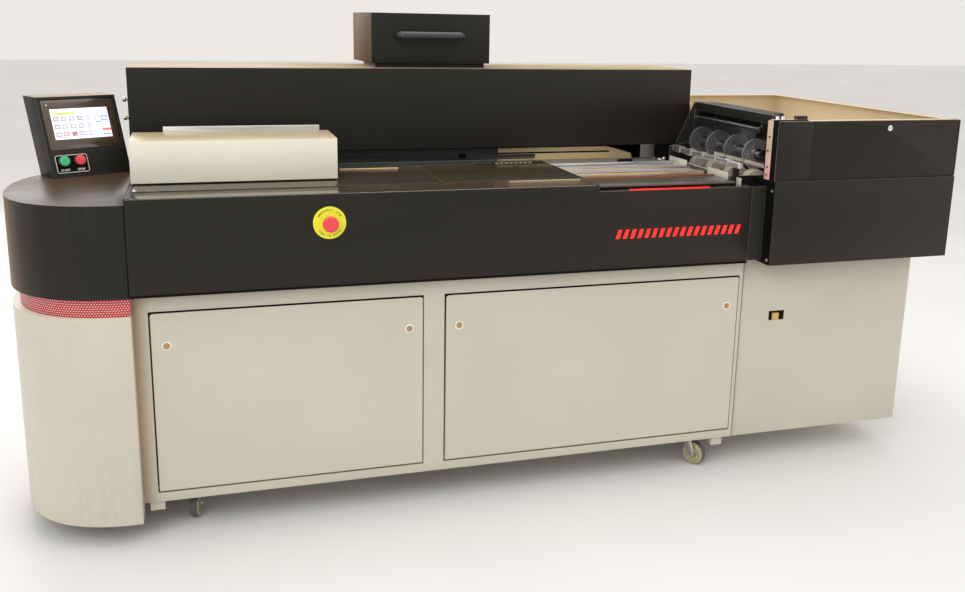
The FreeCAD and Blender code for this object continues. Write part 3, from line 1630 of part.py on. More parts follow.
pieces = build()
move_to_origin(pieces)
os.makedirs("parts", exist_ok=True)
for name, shape in pieces.items():
    shape.exportStep("parts/" + name + ".step")
    print(name, len(shape.Solids), "solids", round(shape.Volume / 1000, 1), "cm3",
          "" if shape.isValid() else "NOT VALID")
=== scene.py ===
import json
import math
import bpy
from mathutils import Matrix, Vector


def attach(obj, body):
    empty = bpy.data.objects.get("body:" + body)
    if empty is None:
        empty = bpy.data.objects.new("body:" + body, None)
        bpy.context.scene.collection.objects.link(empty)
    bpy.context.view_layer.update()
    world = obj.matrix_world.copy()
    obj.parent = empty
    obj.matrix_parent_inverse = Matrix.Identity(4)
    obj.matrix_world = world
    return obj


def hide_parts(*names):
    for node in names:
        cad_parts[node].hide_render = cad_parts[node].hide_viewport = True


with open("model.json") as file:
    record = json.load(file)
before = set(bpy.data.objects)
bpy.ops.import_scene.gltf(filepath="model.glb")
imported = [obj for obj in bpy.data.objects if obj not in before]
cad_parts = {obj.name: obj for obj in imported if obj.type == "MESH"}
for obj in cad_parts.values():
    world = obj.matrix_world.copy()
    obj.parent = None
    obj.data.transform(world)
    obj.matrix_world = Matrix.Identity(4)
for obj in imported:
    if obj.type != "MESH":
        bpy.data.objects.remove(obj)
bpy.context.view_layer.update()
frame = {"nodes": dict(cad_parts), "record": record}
nodes = frame["nodes"]
record = frame["record"]
bodyOf = {node: body for body, names in record["behaviour"]["bodies"].items() for node in names}
slotOf = {entry["node"]: entry["material_slot"] for entry in record["subparts"]}
print("frame loaded:", len(nodes), "nodes")

# the machine's own axes, in mm: X from the seam beside the pod, Y from the front cover, Z from the floor
seamX, coverY, mm = -1.128, -0.491, 0.001
up, front, left = (0, 0, 1), (0, -1, 0), (-1, 0, 0)


def at(x, y, z):
    return Vector((seamX + x * mm, coverY + y * mm, z * mm))


# a socket in an expression: each sum, product or quotient adds a Math node
class Wire:
    def __init__(self, look, socket):
        self.look = look
        self.socket = socket

    def __add__(self, other):
        return self.look.maths("ADD", self, other)

    def __sub__(self, other):
        return self.look.maths("SUBTRACT", self, other)

    def __rsub__(self, other):
        return self.look.maths("SUBTRACT", other, self)

    def __mul__(self, other):
        return self.look.maths("MULTIPLY", self, other)

    def __truediv__(self, other):
        return self.look.maths("DIVIDE", self, other)

    def __rtruediv__(self, other):
        return self.look.maths("DIVIDE", other, self)

    __radd__ = __add__
    __rmul__ = __mul__


class Look:
    def __init__(self, name, **surface):
        self.material = bpy.data.materials.new(name)
        self.material.use_nodes = True
        self.tree = self.material.node_tree
        self.shader = self.tree.nodes["Principled BSDF"]
        for key, value in surface.items():
            self.shader.inputs[key.replace("_", " ")].default_value = value
        self.place = self.node("ShaderNodeTexCoord", {}, {}, "Object")

    # any node: its settings first, then the values or links of its sockets, then the output wanted
    def node(self, kind, settings, sockets, output=0):
        made = self.tree.nodes.new(kind)
        for key, value in settings.items():
            setattr(made, key, value)
        for key, value in sockets.items():
            if isinstance(value, Wire):
                self.tree.links.new(value.socket, made.inputs[key])
            else:
                made.inputs[key].default_value = value
        return Wire(self, made.outputs[output])

    def maths(self, operation, *values):
        return self.node("ShaderNodeMath", {"operation": operation}, dict(enumerate(values)))

    def noise(self, scale, detail=3.0, roughness=0.5, stretch=None):
        place = self.place
        if stretch:
            place = self.node("ShaderNodeMapping", {}, {"Vector": place, "Scale": stretch})
        sockets = {"Vector": place, "Scale": scale, "Detail": detail, "Roughness": roughness}
        return self.node("ShaderNodeTexNoise", {}, sockets)

    def axis(self, output):
        return self.node("ShaderNodeSeparateXYZ", {}, {0: self.place}, output)

    def blend(self, factor, first, second):
        return self.node("ShaderNodeMix", {"data_type": "RGBA"}, {0: factor, 6: first, 7: second}, 2)

    # a value's range stretched or squeezed to another range
    def spread(self, value, low, high, outLow=0.0, outHigh=1.0):
        return self.node("ShaderNodeMapRange", {}, {"Value": value, "From Min": low, "From Max": high,
                                                    "To Min": outLow, "To Max": outHigh})

    def bump(self, height, strength, distance=0.001):
        return self.node("ShaderNodeBump", {}, {"Height": height, "Strength": strength, "Distance": distance})

    def give(self, **links):
        for key, value in links.items():
            self.tree.links.new(value.socket, self.shader.inputs[key.replace("_", " ")])
        return self.material


# most of a noise's values lie in this range; the scales are those of clouds, dust and grain in paint
middle = (0.35, 0.65)
paint = {"cloudScale": 2.6, "cloudDetail": 4.0, "dustScale": 22.0, "creamGrain": 300.0, "creamDepth": 0.08,
         "bumpHeight": 0.0006, "glossRange": (0.36, 0.5), "specks": (0.42, 0.7, 0.0, 0.3),
         "dustMarks": (0.6, 0.8, 0.0, 0.25)}


def shade(colour, scale=1.0):
    return tuple(min(1.0, c * scale) for c in colour) + (1.0,)


# sprayed paint: broad cloudiness in the colour, a fine grain in the bump, a little uneven gloss; its sheen at
# grazing angles is tinted warm, a painted reflection of warm surroundings
def sprayed(name, colour, rough=0.45, grain=420.0, depth=0.12, cloud=0.08, coat=0.0, shine=0.5,
            sheen=0.0, reflectionTint=(1.0, 0.52, 0.22)):
    look = Look(name, Coat_Weight=coat, Coat_Roughness=0.2, Specular_IOR_Level=shine, Sheen_Weight=sheen,
                Sheen_Roughness=0.35, Sheen_Tint=shade(reflectionTint))
    cloudy = look.noise(paint["cloudScale"], paint["cloudDetail"])
    fine = look.noise(grain, 2.0, 0.6)
    dust = look.noise(paint["dustScale"], 6.0, 0.7)
    base = look.blend(look.spread(cloudy, *middle), shade(colour, 1 - cloud), shade(colour, 1 + cloud))
    speckled = look.blend(look.spread(fine, *paint["specks"]), base, shade(colour, 1 + 3 * cloud))
    worn = look.blend(look.spread(dust, *paint["dustMarks"]), speckled, shade(colour, 1 - 2 * cloud))
    gloss = look.spread(cloudy * 0.5 + dust * 0.5, *middle, rough - 0.06, rough + 0.08)
    return look.give(Base_Color=worn, Roughness=gloss, Normal=look.bump(fine, depth, paint["bumpHeight"]))


# the grain and gloss of smooth cream paint
def creamy(look, cloudy, colour):
    fine = look.noise(paint["creamGrain"], 2.0, 0.6)
    return look.give(Base_Color=colour, Roughness=look.spread(cloudy, *middle, *paint["glossRange"]),
                     Normal=look.bump(fine, paint["creamDepth"], paint["bumpHeight"]))


# cream paint of the cabinet with painted shade: warmer and darker along its left edge beside the pod and just
# under the front cover
coverShade = {"leftEdge": (0.048, 0.006, 0.0, 0.8), "underCover": (0.700, 0.718, 0.0, 0.9)}


def shadowed(name, colour, warm):
    look = Look(name, Specular_IOR_Level=0.5)
    cloudy = look.noise(paint["cloudScale"], paint["cloudDetail"])
    base = look.blend(look.spread(cloudy, *middle), shade(colour, 0.965), shade(colour, 1.035))
    pale, dark, *strength = coverShade["leftEdge"]
    fromLeft = look.spread(look.axis(0), seamX + pale, seamX + dark, *strength)
    fromTop = look.spread(look.axis(2), *coverShade["underCover"])
    warmth = look.maths("MAXIMUM", fromLeft, fromTop)
    return creamy(look, cloudy, look.blend(warmth, base, shade(warm)))


# the feeder's cream post: pink light from the lamp strip falls on its lower part
postFade = {"below": 0.004, "above": 0.018, "waver": 0.012, "waverScale": 9.0}


def litPost(name, upper, lower, edge):
    look = Look(name, Specular_IOR_Level=0.4)
    cloudy = look.noise(postFade["waverScale"], paint["cloudDetail"])
    height = look.axis(2) + cloudy * postFade["waver"]
    fade = look.spread(height, edge - postFade["below"], edge + postFade["above"])
    return creamy(look, cloudy, look.blend(fade, shade(lower), shade(upper)))


# metal with fine lines along one direction: the grain is stretched along that axis
alongX, alongY, alongZ = (0.05, 1.0, 1.0), (1.0, 0.05, 1.0), (1.0, 1.0, 0.05)
metal = {"lineScale": 160.0, "lineDetail": 4.0, "lineRough": 0.65, "cloudScale": 6.0, "bumpHeight": 0.0004}


def brushed(name, colour, rough, stretch=alongX, depth=0.08):
    look = Look(name, Metallic=1.0)
    lines = look.noise(metal["lineScale"], metal["lineDetail"], metal["lineRough"], stretch)
    cloudy = look.noise(metal["cloudScale"])
    tone = look.spread(lines * 0.7 + cloudy * 0.3, *middle)
    gloss = look.spread(lines, 0.3, 0.7, rough - 0.08, rough + 0.1)
    return look.give(Base_Color=look.blend(tone, shade(colour, 0.76), shade(colour, 1.04)), Roughness=gloss,
                     Normal=look.bump(lines, depth, metal["bumpHeight"]))


# moulded plastic or rubber with a soft grain and slight wear
plastic = {"wearScale": 14.0, "wearDetail": 4.0, "wearRange": (0.3, 0.7), "bumpHeight": 0.0004}


def moulded(name, colour, rough=0.4, grain=300.0, depth=0.06, coat=0.0, glow=0.0, shine=0.5):
    look = Look(name, Coat_Weight=coat, Specular_IOR_Level=shine)
    if glow:
        look.shader.inputs["Emission Color"].default_value = shade(colour)
        look.shader.inputs["Emission Strength"].default_value = glow
    fine = look.noise(grain, 2.0)
    worn = look.noise(plastic["wearScale"], plastic["wearDetail"])
    gloss = look.spread(worn, *plastic["wearRange"], rough - 0.05, rough + 0.08)
    tone = look.spread(worn * 0.6 + fine * 0.4, *middle)
    return look.give(Base_Color=look.blend(tone, shade(colour, 0.84), shade(colour, 1.04)), Roughness=gloss,
                     Normal=look.bump(fine, depth, plastic["bumpHeight"]))


# polished black sheet of the table: faint rub marks along it, and a faint warm sheen at grazing angles that
# is a painted reflection
def polished(name, colour, rough):
    look = Look(name, Coat_Weight=0.5, Coat_Roughness=0.12, Sheen_Weight=0.08, Sheen_Roughness=0.35,
                Sheen_Tint=(1.0, 0.66, 0.38, 1.0))
    rub = look.noise(30.0, 5.0, 0.6, (0.35, 3.0, 1.0))
    cloudy = look.noise(3.0, 3.0)
    tone = look.spread(rub, 0.5, 0.72, 0.0, 0.6)
    gloss = look.spread(rub * 0.5 + cloudy * 0.5, *middle, rough - 0.04, rough + 0.05)
    return look.give(Base_Color=look.blend(tone, shade(colour), shade(colour, 1.6)), Roughness=gloss,
                     Normal=look.bump(rub, 0.03, 0.0005))


# clear or smoked sheet plastic with faint scratches
def glassy(name, colour, alpha, rough=0.12):
    look = Look(name, Coat_Weight=0.5)
    rub = look.noise(60.0, 5.0, 0.6, (1.0, 0.3, 1.0))
    seen = look.spread(rub, 0.4, 0.75, alpha, min(1.0, alpha + 0.12))
    tint = look.blend(look.spread(rub, 0.4, 0.7), shade(colour, 0.8), shade(colour))
    return look.give(Base_Color=tint, Roughness=look.spread(rub, 0.35, 0.7, rough, rough + 0.2), Alpha=seen)


# perforated red sheet bent round the pod: rows of round holes, each row shifted by half a pitch
meshHoles = {"pitch": 0.0074, "hole": 0.31, "soft": 0.05, "middleX": seamX, "middleY": coverY + 0.345,
             "reach": 0.33, "rowStep": 0.86}


def perforated(name, colour, hollow):
    look = Look(name, Metallic=0.25, Roughness=0.38)
    away = look.maths("ARCTAN2", look.axis(1) - meshHoles["middleY"], look.axis(0) - meshHoles["middleX"])
    column = away * meshHoles["reach"] / meshHoles["pitch"]
    row = look.axis(2) / (meshHoles["pitch"] * meshHoles["rowStep"])
    odd = look.maths("FLOORED_MODULO", look.maths("FLOOR", row), 2.0)
    dx = look.maths("FRACT", column + odd * 0.5) - 0.5
    dz = look.maths("FRACT", row) - 0.5
    fromMiddle = look.maths("SQRT", dx * dx + dz * dz)
    hole, soft = meshHoles["hole"], meshHoles["soft"]
    sheet = look.spread(fromMiddle, hole - soft, hole + soft)
    cloudy = look.noise(4.0, 3.0)
    red = look.blend(look.spread(cloudy, *middle), shade(colour, 0.85), shade(colour, 1.08))
    return look.give(Base_Color=look.blend(sheet, shade(hollow), red),
                     Normal=look.bump(sheet, 0.5, 0.001))


# details that several finishes share
screenPart = dict(rough=0.25, grain=200.0, depth=0.01, coat=0.4)
# the button caps glow faintly though they hold no lamp: painted light
buttonCap = dict(rough=0.3, grain=200.0, depth=0.03, coat=0.4, glow=0.3)
housingCoat = dict(rough=0.42, grain=300.0, depth=0.08, cloud=0.035, coat=0.1)

# every finish: how it is made, its colour and its details
finishes = {
    "blackPaint": (sprayed, (0.0130, 0.0118, 0.0095),
                   dict(rough=0.42, depth=0.22, cloud=0.1, shine=0.24, sheen=0.4)),
    "blackSmooth": (sprayed, (0.024, 0.019, 0.013),
                    dict(rough=0.33, depth=0.08, cloud=0.1, coat=0.04, shine=0.14, sheen=0.16)),
    "blackFlat": (sprayed, (0.017, 0.0155, 0.013), dict(depth=0.15, cloud=0.1, shine=0.22)),
    "stepOlive": (sprayed, (0.05, 0.047, 0.036), dict(rough=0.4, depth=0.1, cloud=0.1)),
    "postCream": (litPost, (0.62, 0.47, 0.32), dict(lower=(0.90, 0.50, 0.46), edge=1.066)),
    "blackEdge": (sprayed, (0.14, 0.12, 0.09), dict(rough=0.34, depth=0.1, cloud=0.3)),
    "sealBlack": (moulded, (0.005, 0.005, 0.005), dict(rough=0.6, depth=0.1, shine=0.08)),
    "fasciaDark": (sprayed, (0.044, 0.052, 0.051), dict(rough=0.5, depth=0.1, cloud=0.1, shine=0.3)),
    "ledgeGrey": (sprayed, (0.13, 0.128, 0.105), dict(depth=0.1, cloud=0.1, shine=0.3)),
    "binTan": (sprayed, (0.66, 0.545, 0.37), housingCoat),
    "blackGraze": (sprayed, (0.05, 0.042, 0.03),
                   dict(rough=0.42, depth=0.15, cloud=0.1, shine=0.3, sheen=0.8, reflectionTint=(1.0, 0.74, 0.44))),
    "hoodBrown": (sprayed, (0.115, 0.07, 0.038), dict(rough=0.5, depth=0.15, shine=0.12, sheen=0.12)),
    "beigePaint": (sprayed, (0.585, 0.545, 0.455), housingCoat),
    "creamPaint": (sprayed, (0.72, 0.69, 0.60),
                   dict(rough=0.4, grain=300.0, depth=0.08, cloud=0.03, coat=0.1)),
    "boxCream": (sprayed, (0.86, 0.83, 0.70),
                 dict(rough=0.38, grain=300.0, depth=0.06, cloud=0.03, coat=0.15)),
    "framePaint": (sprayed, (0.045, 0.04, 0.033), dict(grain=260.0, depth=0.1, cloud=0.1)),
    "tanPaint": (sprayed, (0.40, 0.24, 0.12), dict(rough=0.4, grain=260.0, depth=0.08, cloud=0.1)),
    "motorGrey": (sprayed, (0.12, 0.13, 0.14), dict(rough=0.5, grain=200.0, depth=0.2, cloud=0.1)),
    "tableBlack": (polished, (0.030, 0.025, 0.016), dict(rough=0.22)),
    "steelAlongX": (brushed, (0.62, 0.61, 0.58), dict(rough=0.3)),
    "steelAlongY": (brushed, (0.60, 0.59, 0.57), dict(rough=0.3, stretch=alongY)),
    "aluminium": (brushed, (0.76, 0.75, 0.72), dict(rough=0.35, depth=0.05)),
    "copper": (brushed, (0.60, 0.33, 0.21), dict(rough=0.32)),
    "zinc": (brushed, (0.66, 0.63, 0.56), dict(rough=0.28, stretch=alongZ, depth=0.04)),
    "brass": (brushed, (0.72, 0.50, 0.18), dict(rough=0.3)),
    "redMesh": (perforated, (0.46, 0.004, 0.012), dict(hollow=(0.82, 0.52, 0.50))),
    "redPlastic": (moulded, (0.66, 0.03, 0.025), dict(rough=0.32, grain=200.0, depth=0.04, coat=0.3)),
    "redButton": (moulded, (0.66, 0.035, 0.055), buttonCap),
    "greenButton": (moulded, (0.02, 0.42, 0.16), buttonCap),
    "yellowPlastic": (moulded, (0.88, 0.85, 0.025), dict(rough=0.45)),
    "lampRed": (moulded, (0.92, 0.012, 0.008), dict(rough=0.3, grain=200.0, depth=0.03, coat=0.2, glow=0.9)),
    "blackPlastic": (moulded, (0.018, 0.018, 0.018), dict(rough=0.38, depth=0.08)),
    "gripBlack": (moulded, (0.03, 0.03, 0.032), dict(rough=0.32, depth=0.05, coat=0.3)),
    "tyreGrey": (moulded, (0.34, 0.32, 0.27), dict(rough=0.55, grain=240.0, depth=0.1)),
    "whitePlastic": (moulded, (0.86, 0.84, 0.78), dict()),
    "lockTan": (moulded, (0.44, 0.26, 0.12), dict()),
    "doorBrown": (moulded, (0.30, 0.20, 0.125), dict(rough=0.5)),
    "seamOlive": (moulded, (0.25, 0.22, 0.155), dict(rough=0.5)),
    "cabinetCream": (shadowed, (0.585, 0.545, 0.455), dict(warm=(0.36, 0.25, 0.155))),
    "wheelYellow": (moulded, (0.52, 0.47, 0.27), dict(grain=240.0, depth=0.08)),
    "darkTyre": (moulded, (0.10, 0.095, 0.085), dict(rough=0.55, grain=240.0, depth=0.1)),
    "blackInk": (moulded, (0.05, 0.04, 0.02), dict(rough=0.5)),
    "creamRubber": (moulded, (0.72, 0.66, 0.52), dict(rough=0.5)),
    "smoked": (glassy, (0.035, 0.035, 0.042), dict(alpha=0.22, rough=0.1)),
    "clearPlastic": (glassy, (0.56, 0.54, 0.56), dict(alpha=0.26)),
    "discRim": (glassy, (0.86, 0.80, 0.78), dict(alpha=0.8, rough=0.2)),
    "whiteLine": (moulded, (0.78, 0.77, 0.74), dict(rough=0.5)),
    "barBright": (brushed, (0.86, 0.85, 0.84), dict(rough=0.42, depth=0.04)),
    "barLilac": (brushed, (0.74, 0.73, 0.78), dict(rough=0.45, depth=0.04)),
    "paleGold": (brushed, (0.83, 0.66, 0.44), dict(rough=0.38, depth=0.05)),
    "rustRail": (brushed, (0.34, 0.15, 0.09), dict(rough=0.4, depth=0.05)),
    "brownPlate": (sprayed, (0.085, 0.07, 0.056),
                   dict(rough=0.3, grain=260.0, depth=0.08, cloud=0.12, coat=0.3)),
    "creamGold": (sprayed, (0.96, 0.72, 0.40), dict(rough=0.34, grain=260.0, depth=0.06, coat=0.2)),
    "bezelGloss": (sprayed, (0.07, 0.048, 0.03),
                   dict(rough=0.12, grain=300.0, depth=0.02, cloud=0.25, coat=0.6)),
    "screenGlow": (moulded, (0.93, 0.91, 0.97), dict(screenPart, glow=0.85)),
    "screenBlue": (moulded, (0.36, 0.38, 0.86), dict(screenPart, glow=0.7)),
    "screenGrey": (moulded, (0.36, 0.33, 0.44), dict(screenPart, glow=0.6)),
    "screenRed": (moulded, (0.86, 0.22, 0.22), dict(screenPart, glow=0.8)),
    "screenGreen": (moulded, (0.46, 0.86, 0.04), dict(screenPart, glow=0.8)),
    "boltBright": (brushed, (0.85, 0.83, 0.78), dict(rough=0.22, depth=0.02)),
    "creamWarm": (sprayed, (0.50, 0.41, 0.26),
                  dict(rough=0.38, grain=300.0, depth=0.06, cloud=0.05, coat=0.1)),
}
looks = {name: make(name, colour, **detail) for name, (make, colour, detail) in finishes.items()}
slotLooks = {
    "black_paint": "blackPaint", "beige_paint": "beigePaint", "cream_paint": "creamPaint",
    "red_mesh": "redMesh", "gloss_black": "tableBlack", "frame_paint": "framePaint",
    "yellow_plastic": "yellowPlastic", "red_plastic": "redPlastic", "green_plastic": "greenButton",
    "tan_paint": "tanPaint", "copper_metal": "copper", "steel": "steelAlongX", "aluminium": "aluminium",
    "motor_grey": "motorGrey", "console_grey": "blackPaint", "screen_black": "blackPlastic",
    "zinc": "zinc", "wheel_grey": "tyreGrey", "clear_disc": "clearPlastic", "smoked": "smoked",
    "cream_roller": "creamRubber", "lock_white": "whitePlastic", "lamp_red": "lampRed",
    "handle_black": "gripBlack",
}

# each node's material slots take the finish of its slot in the record
for name, node in nodes.items():
    look = looks[slotLooks[slotOf[name]]]
    if not node.material_slots:
        node.data.materials.append(look)
    for slot in node.material_slots:
        slot.material = look
print("finishes given to every node")


def mode(name):
    bpy.ops.object.mode_set(mode=name)


def linked(name, data):
    made = bpy.data.objects.new(name, data)
    bpy.context.collection.objects.link(made)
    return made


def nothingSelected():
    if bpy.context.mode != "OBJECT":
        mode("OBJECT")
    bpy.ops.object.select_all(action="DESELECT")


def only(piece):
    nothingSelected()
    piece.select_set(True)
    bpy.context.view_layer.objects.active = piece


def settled():
    bpy.ops.object.transform_apply(location=True, rotation=True, scale=True)
    return bpy.context.object


# adds a modifier with its settings and applies it
def modified(piece, kind, **settings):
    only(piece)
    modifier = piece.modifiers.new(kind.title(), kind)
    for key, value in settings.items():
        setattr(modifier, key, value)
    bpy.ops.object.modifier_apply(modifier=modifier.name)
    return piece


# edges sharper than these angles are rounded: on whole pieces, and on the heads of screws
sharp = {"piece": 38, "head": 40}


# softens the edges and gives the piece its finish and body, with its place in its mesh
def finished(piece, name, look, body, bevel=0.0, smooth=35.0, segments=2, edge=None):
    only(piece)
    settled()
    if not piece.data.materials:
        piece.data.materials.append(looks[look])
    elif look:
        piece.data.materials[0] = looks[look]
    if edge:
        piece.data.materials.append(looks[edge])
    if bevel:
        modified(piece, "BEVEL", width=bevel * mm, segments=segments, limit_method="ANGLE",
                 angle_limit=math.radians(sharp["piece"]), material=1 if edge else -1)
    only(piece)
    bpy.ops.object.shade_smooth_by_angle(angle=math.radians(smooth))
    piece.name = name
    piece.data.name = name
    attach(piece, body)
    return piece


# a copy of a CAD node with its flat faces joined up, ready to be shaped further
joinUp = {"near": 0.00002, "flat": 0.6}


def copied(node):
    piece = linked(node, nodes[node].data.copy())
    only(piece)
    mode("EDIT")
    bpy.ops.mesh.select_all(action="SELECT")
    bpy.ops.mesh.remove_doubles(threshold=joinUp["near"])
    bpy.ops.mesh.dissolve_limited(angle_limit=math.radians(joinUp["flat"]))
    mode("OBJECT")
    return piece


# a copy of a node with softened edges, which stands for the node
def dressed(node, bevel, look=None, smooth=35.0, segments=2, edge=None, piece=None):
    piece = piece or copied(node)
    finished(piece, node + "_dressed", look or slotLooks[slotOf[node]], bodyOf[node], bevel,
             smooth, segments, edge)
    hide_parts(node)
    return piece


# a second finish on the faces inside a box of mm, or only on those that look one way
def painted(piece, look, x, y, z, facing=None, near=0.8):
    low, high = zip(x, y, z)
    low, high = at(*low), at(*high)
    piece.data.materials.append(looks[look])
    number = len(piece.data.materials) - 1
    for face in piece.data.polygons:
        inside = all(low[i] <= face.center[i] <= high[i] for i in range(3))
        if inside and (facing is None or face.normal.dot(Vector(facing)) > near):
            face.material_index = number
    return piece


# the same for the faces near an axis, such as a shaft through its drums; the axis runs along Y
def paintedRound(piece, look, x, z, reach):
    axis = at(x, 0, z)
    piece.data.materials.append(looks[look])
    number = len(piece.data.materials) - 1
    for face in piece.data.polygons:
        corners = [piece.data.vertices[i].co for i in face.vertices]
        if max(math.hypot(c.x - axis.x, c.z - axis.z) for c in corners) < reach * mm:
            face.material_index = number
    return piece


# one screw or knob head, its flat back at the origin and its front toward +Z, with a socket in it
socketDepth, socketReach = 0.45, 0.3


def head(radius, height, socket=0.5, sides=24, corners=0.25):
    nothingSelected()
    bpy.ops.mesh.primitive_cylinder_add(radius=radius * mm, depth=height * mm, vertices=sides,
                                        location=(0, 0, height * mm / 2))
    piece = settled()
    stepIn(piece, up, radius * (1 - socket), 0)
    reach = radius * mm * socket * socketReach
    stepIn(piece, up, 0, -height * socketDepth, (-reach, -reach, -reach), (reach, reach, 1))
    return modified(piece, "BEVEL", width=height * corners * mm, segments=2, limit_method="ANGLE",
                    angle_limit=math.radians(sharp["head"]))


# copies one head to each place, all looking one way, as one piece
def heads(name, one, places, way, look, body):
    turn = Vector(up).rotation_difference(Vector(way)).to_matrix().to_4x4()
    copies = []
    for place in places:
        copy = linked(name, one.data.copy())
        copy.data.transform(Matrix.Translation(at(*place)) @ turn)
        copies.append(copy)
    bpy.data.objects.remove(one)
    return finished(joined(copies), name, look, body)


# a cube between two places on each axis, in mm
def block(x, y, z):
    nothingSelected()
    low, high = (at(*corner) for corner in zip(x, y, z))
    bpy.ops.mesh.primitive_cube_add(size=1, location=(low + high) / 2)
    piece = bpy.context.object
    piece.scale = high - low
    return settled()


# a thin strip with rounded edges whose broad side is stepped in a little
def seal(x, y, z, facing, width, depth, corner=0.3):
    strip = modified(block(x, y, z), "BEVEL", width=corner * mm, segments=2)
    return stepIn(strip, facing, width, depth)


# an upright cylinder round a middle point
def rod(x, y, z, radius, length, sides=32):
    nothingSelected()
    bpy.ops.mesh.primitive_cylinder_add(radius=radius * mm, depth=length * mm, vertices=sides,
                                        location=at(x, y, z))
    return settled()


# picks, in edit mode, the faces that look one way and have their middle inside a box of metres
def pick(piece, facing, low=None, high=None, near=0.9):
    only(piece)
    mode("EDIT")
    bpy.ops.mesh.select_mode(type="FACE")
    bpy.ops.mesh.select_all(action="DESELECT")
    mode("OBJECT")
    found = 0
    for face in piece.data.polygons:
        inside = low is None or all(low[i] <= face.center[i] <= high[i] for i in range(3))
        face.select = bool(inside and face.normal.dot(Vector(facing)) > near)
        found += face.select
    mode("EDIT")
    return found


# insets the picked faces, then pushes them in or pulls them out along their normal
def stepIn(piece, facing, width, depth, low=None, high=None):
    if pick(piece, facing, low, high):
        if width:
            bpy.ops.mesh.inset(thickness=width * mm, depth=0)
        if depth:
            bpy.ops.mesh.extrude_region_shrink_fatten(TRANSFORM_OT_shrink_fatten={"value": depth * mm})
    mode("OBJECT")
    return piece


# joins pieces into the first of them
def joined(pieces):
    only(pieces[0])
    for piece in pieces[1:]:
        piece.select_set(True)
    bpy.ops.object.join()
    return bpy.context.object


# sheet-metal housings with small rolled edges; black ones show a lighter edge, partly wear and partly a
# painted highlight
# the cabinet's cream carries painted shade along its left edge and under the front cover
dressed("cabinet_shell", 0.8, "cabinetCream")
dressed("bin_liner", 0.8, "binTan")
pod = dressed("lower_pod", 0.8)
# the lower pod's lid: pale cream, a painted highlight on its top
painted(pod, "boxCream", x=(-400, 10), y=(-100, 900), z=(660, 680), facing=up)
clampBox = dressed("clamp_cover", 0.8, "boxCream")
# the clamp box's top: a darker, warmer cream, painted shade
painted(clampBox, "creamWarm", x=(0, 600), y=(200, 560), z=(1090, 1130), facing=up, near=0.3)

# the pile flap's knob has a dished front
knob = {"x": (2300, 2332), "y": (-52, -50), "z": (1136, 1168), "reach": (-53, -48.5), "rim": 3.5, "dish": 1.2}
flap = copied("pile_flap")
corners = [at(*corner) for corner in zip(knob["x"], knob["y"], knob["z"])]
stepIn(flap, front, knob["rim"], -knob["dish"], *corners)
rolledEdges = {"rear_housing": 1.0, "hood": 1.0, "feeder_body": 1.2, "pile_flap": 1.0,
               "upper_pod": 0.9, "front_cover": 1.2, "right_lower_cover": 1.2}
housings = {node: dressed(node, width, edge="blackEdge", piece=flap if node == "pile_flap" else None)
            for node, width in rolledEdges.items()}
painted(flap, "boltBright", x=knob["x"], y=knob["reach"], z=knob["z"])
# the rear housing's top: a lighter, warm black with a strong warm sheen, a painted reflection
painted(housings["rear_housing"], "blackGraze", x=(-40, 1900), y=(500, 1100), z=(1290, 1320), facing=up)
shell = dressed("console_shell", 1.4, "blackFlat", edge="blackEdge")
# the console's top: the same painted reflection
painted(shell, "blackGraze", x=(-500, 100), y=(200, 900), z=(1000, 1400), facing=up)
# the hood's left side: brown, a painted reflection on the black paint
painted(housings["hood"], "hoodBrown", x=(600, 1300), y=(500, 1200), z=(1300, 1500), facing=left)
jaw = dressed("rear_jaw", 0.4)
painted(jaw, "boxCream", x=(0, 600), y=(400, 500), z=(1104, 1140))
# the upper pod's top: glossier paint whose warmer, lighter colour is a painted reflection
painted(housings["upper_pod"], "blackSmooth", x=(-400, 60), y=(-100, 900), z=(970, 1000), facing=up)
painted(housings["upper_pod"], "sealBlack", x=(-2.5, 1), y=(-10, 30), z=(700, 1000))
painted(housings["front_cover"], "tableBlack", x=(-10, 1990), y=(-10, 200), z=(960, 1000), facing=up)
painted(housings["front_cover"], "sealBlack", x=(-1, 1.3), y=(-1, 30), z=(700, 960))
painted(housings["front_cover"], "stepOlive", x=(1335, 1990), y=(-10, 200), z=(960, 972), facing=up)
painted(housings["rear_housing"], "zinc", x=(-40, -6.2), y=(580, 620), z=(1120, 1220))
painted(housings["feeder_body"], "boltBright", x=(1915, 1962), y=(-20, 0), z=(1179.9, 1195))
painted(housings["feeder_body"], "postCream", x=(1900, 1920), y=(-60, 14), z=(985, 1180), facing=left)
# the right-hand cover's left side gets the near-black, sheenless finish: painted shade on that side
painted(housings["right_lower_cover"], "sealBlack", x=(1905, 1915), y=(-52, 60), z=(700, 990), facing=left)
rightHousing = dressed("right_housing", 0.8)
painted(rightHousing, "brass", x=(2006, 2037), y=(52.5, 62), z=(480, 534))
table = dressed("table_plates", 0.6, edge="blackEdge")
painted(table, "fasciaDark", x=(-10, 1300), y=(600, 640), z=(985, 1030), facing=front)
tableEnd = seal(x=(0.5, 16), y=(2, 217), z=(989.8, 990.5), facing=up, width=2.0, depth=-0.2)
finished(tableEnd, "table_end_trim", "blackFlat", "machine")

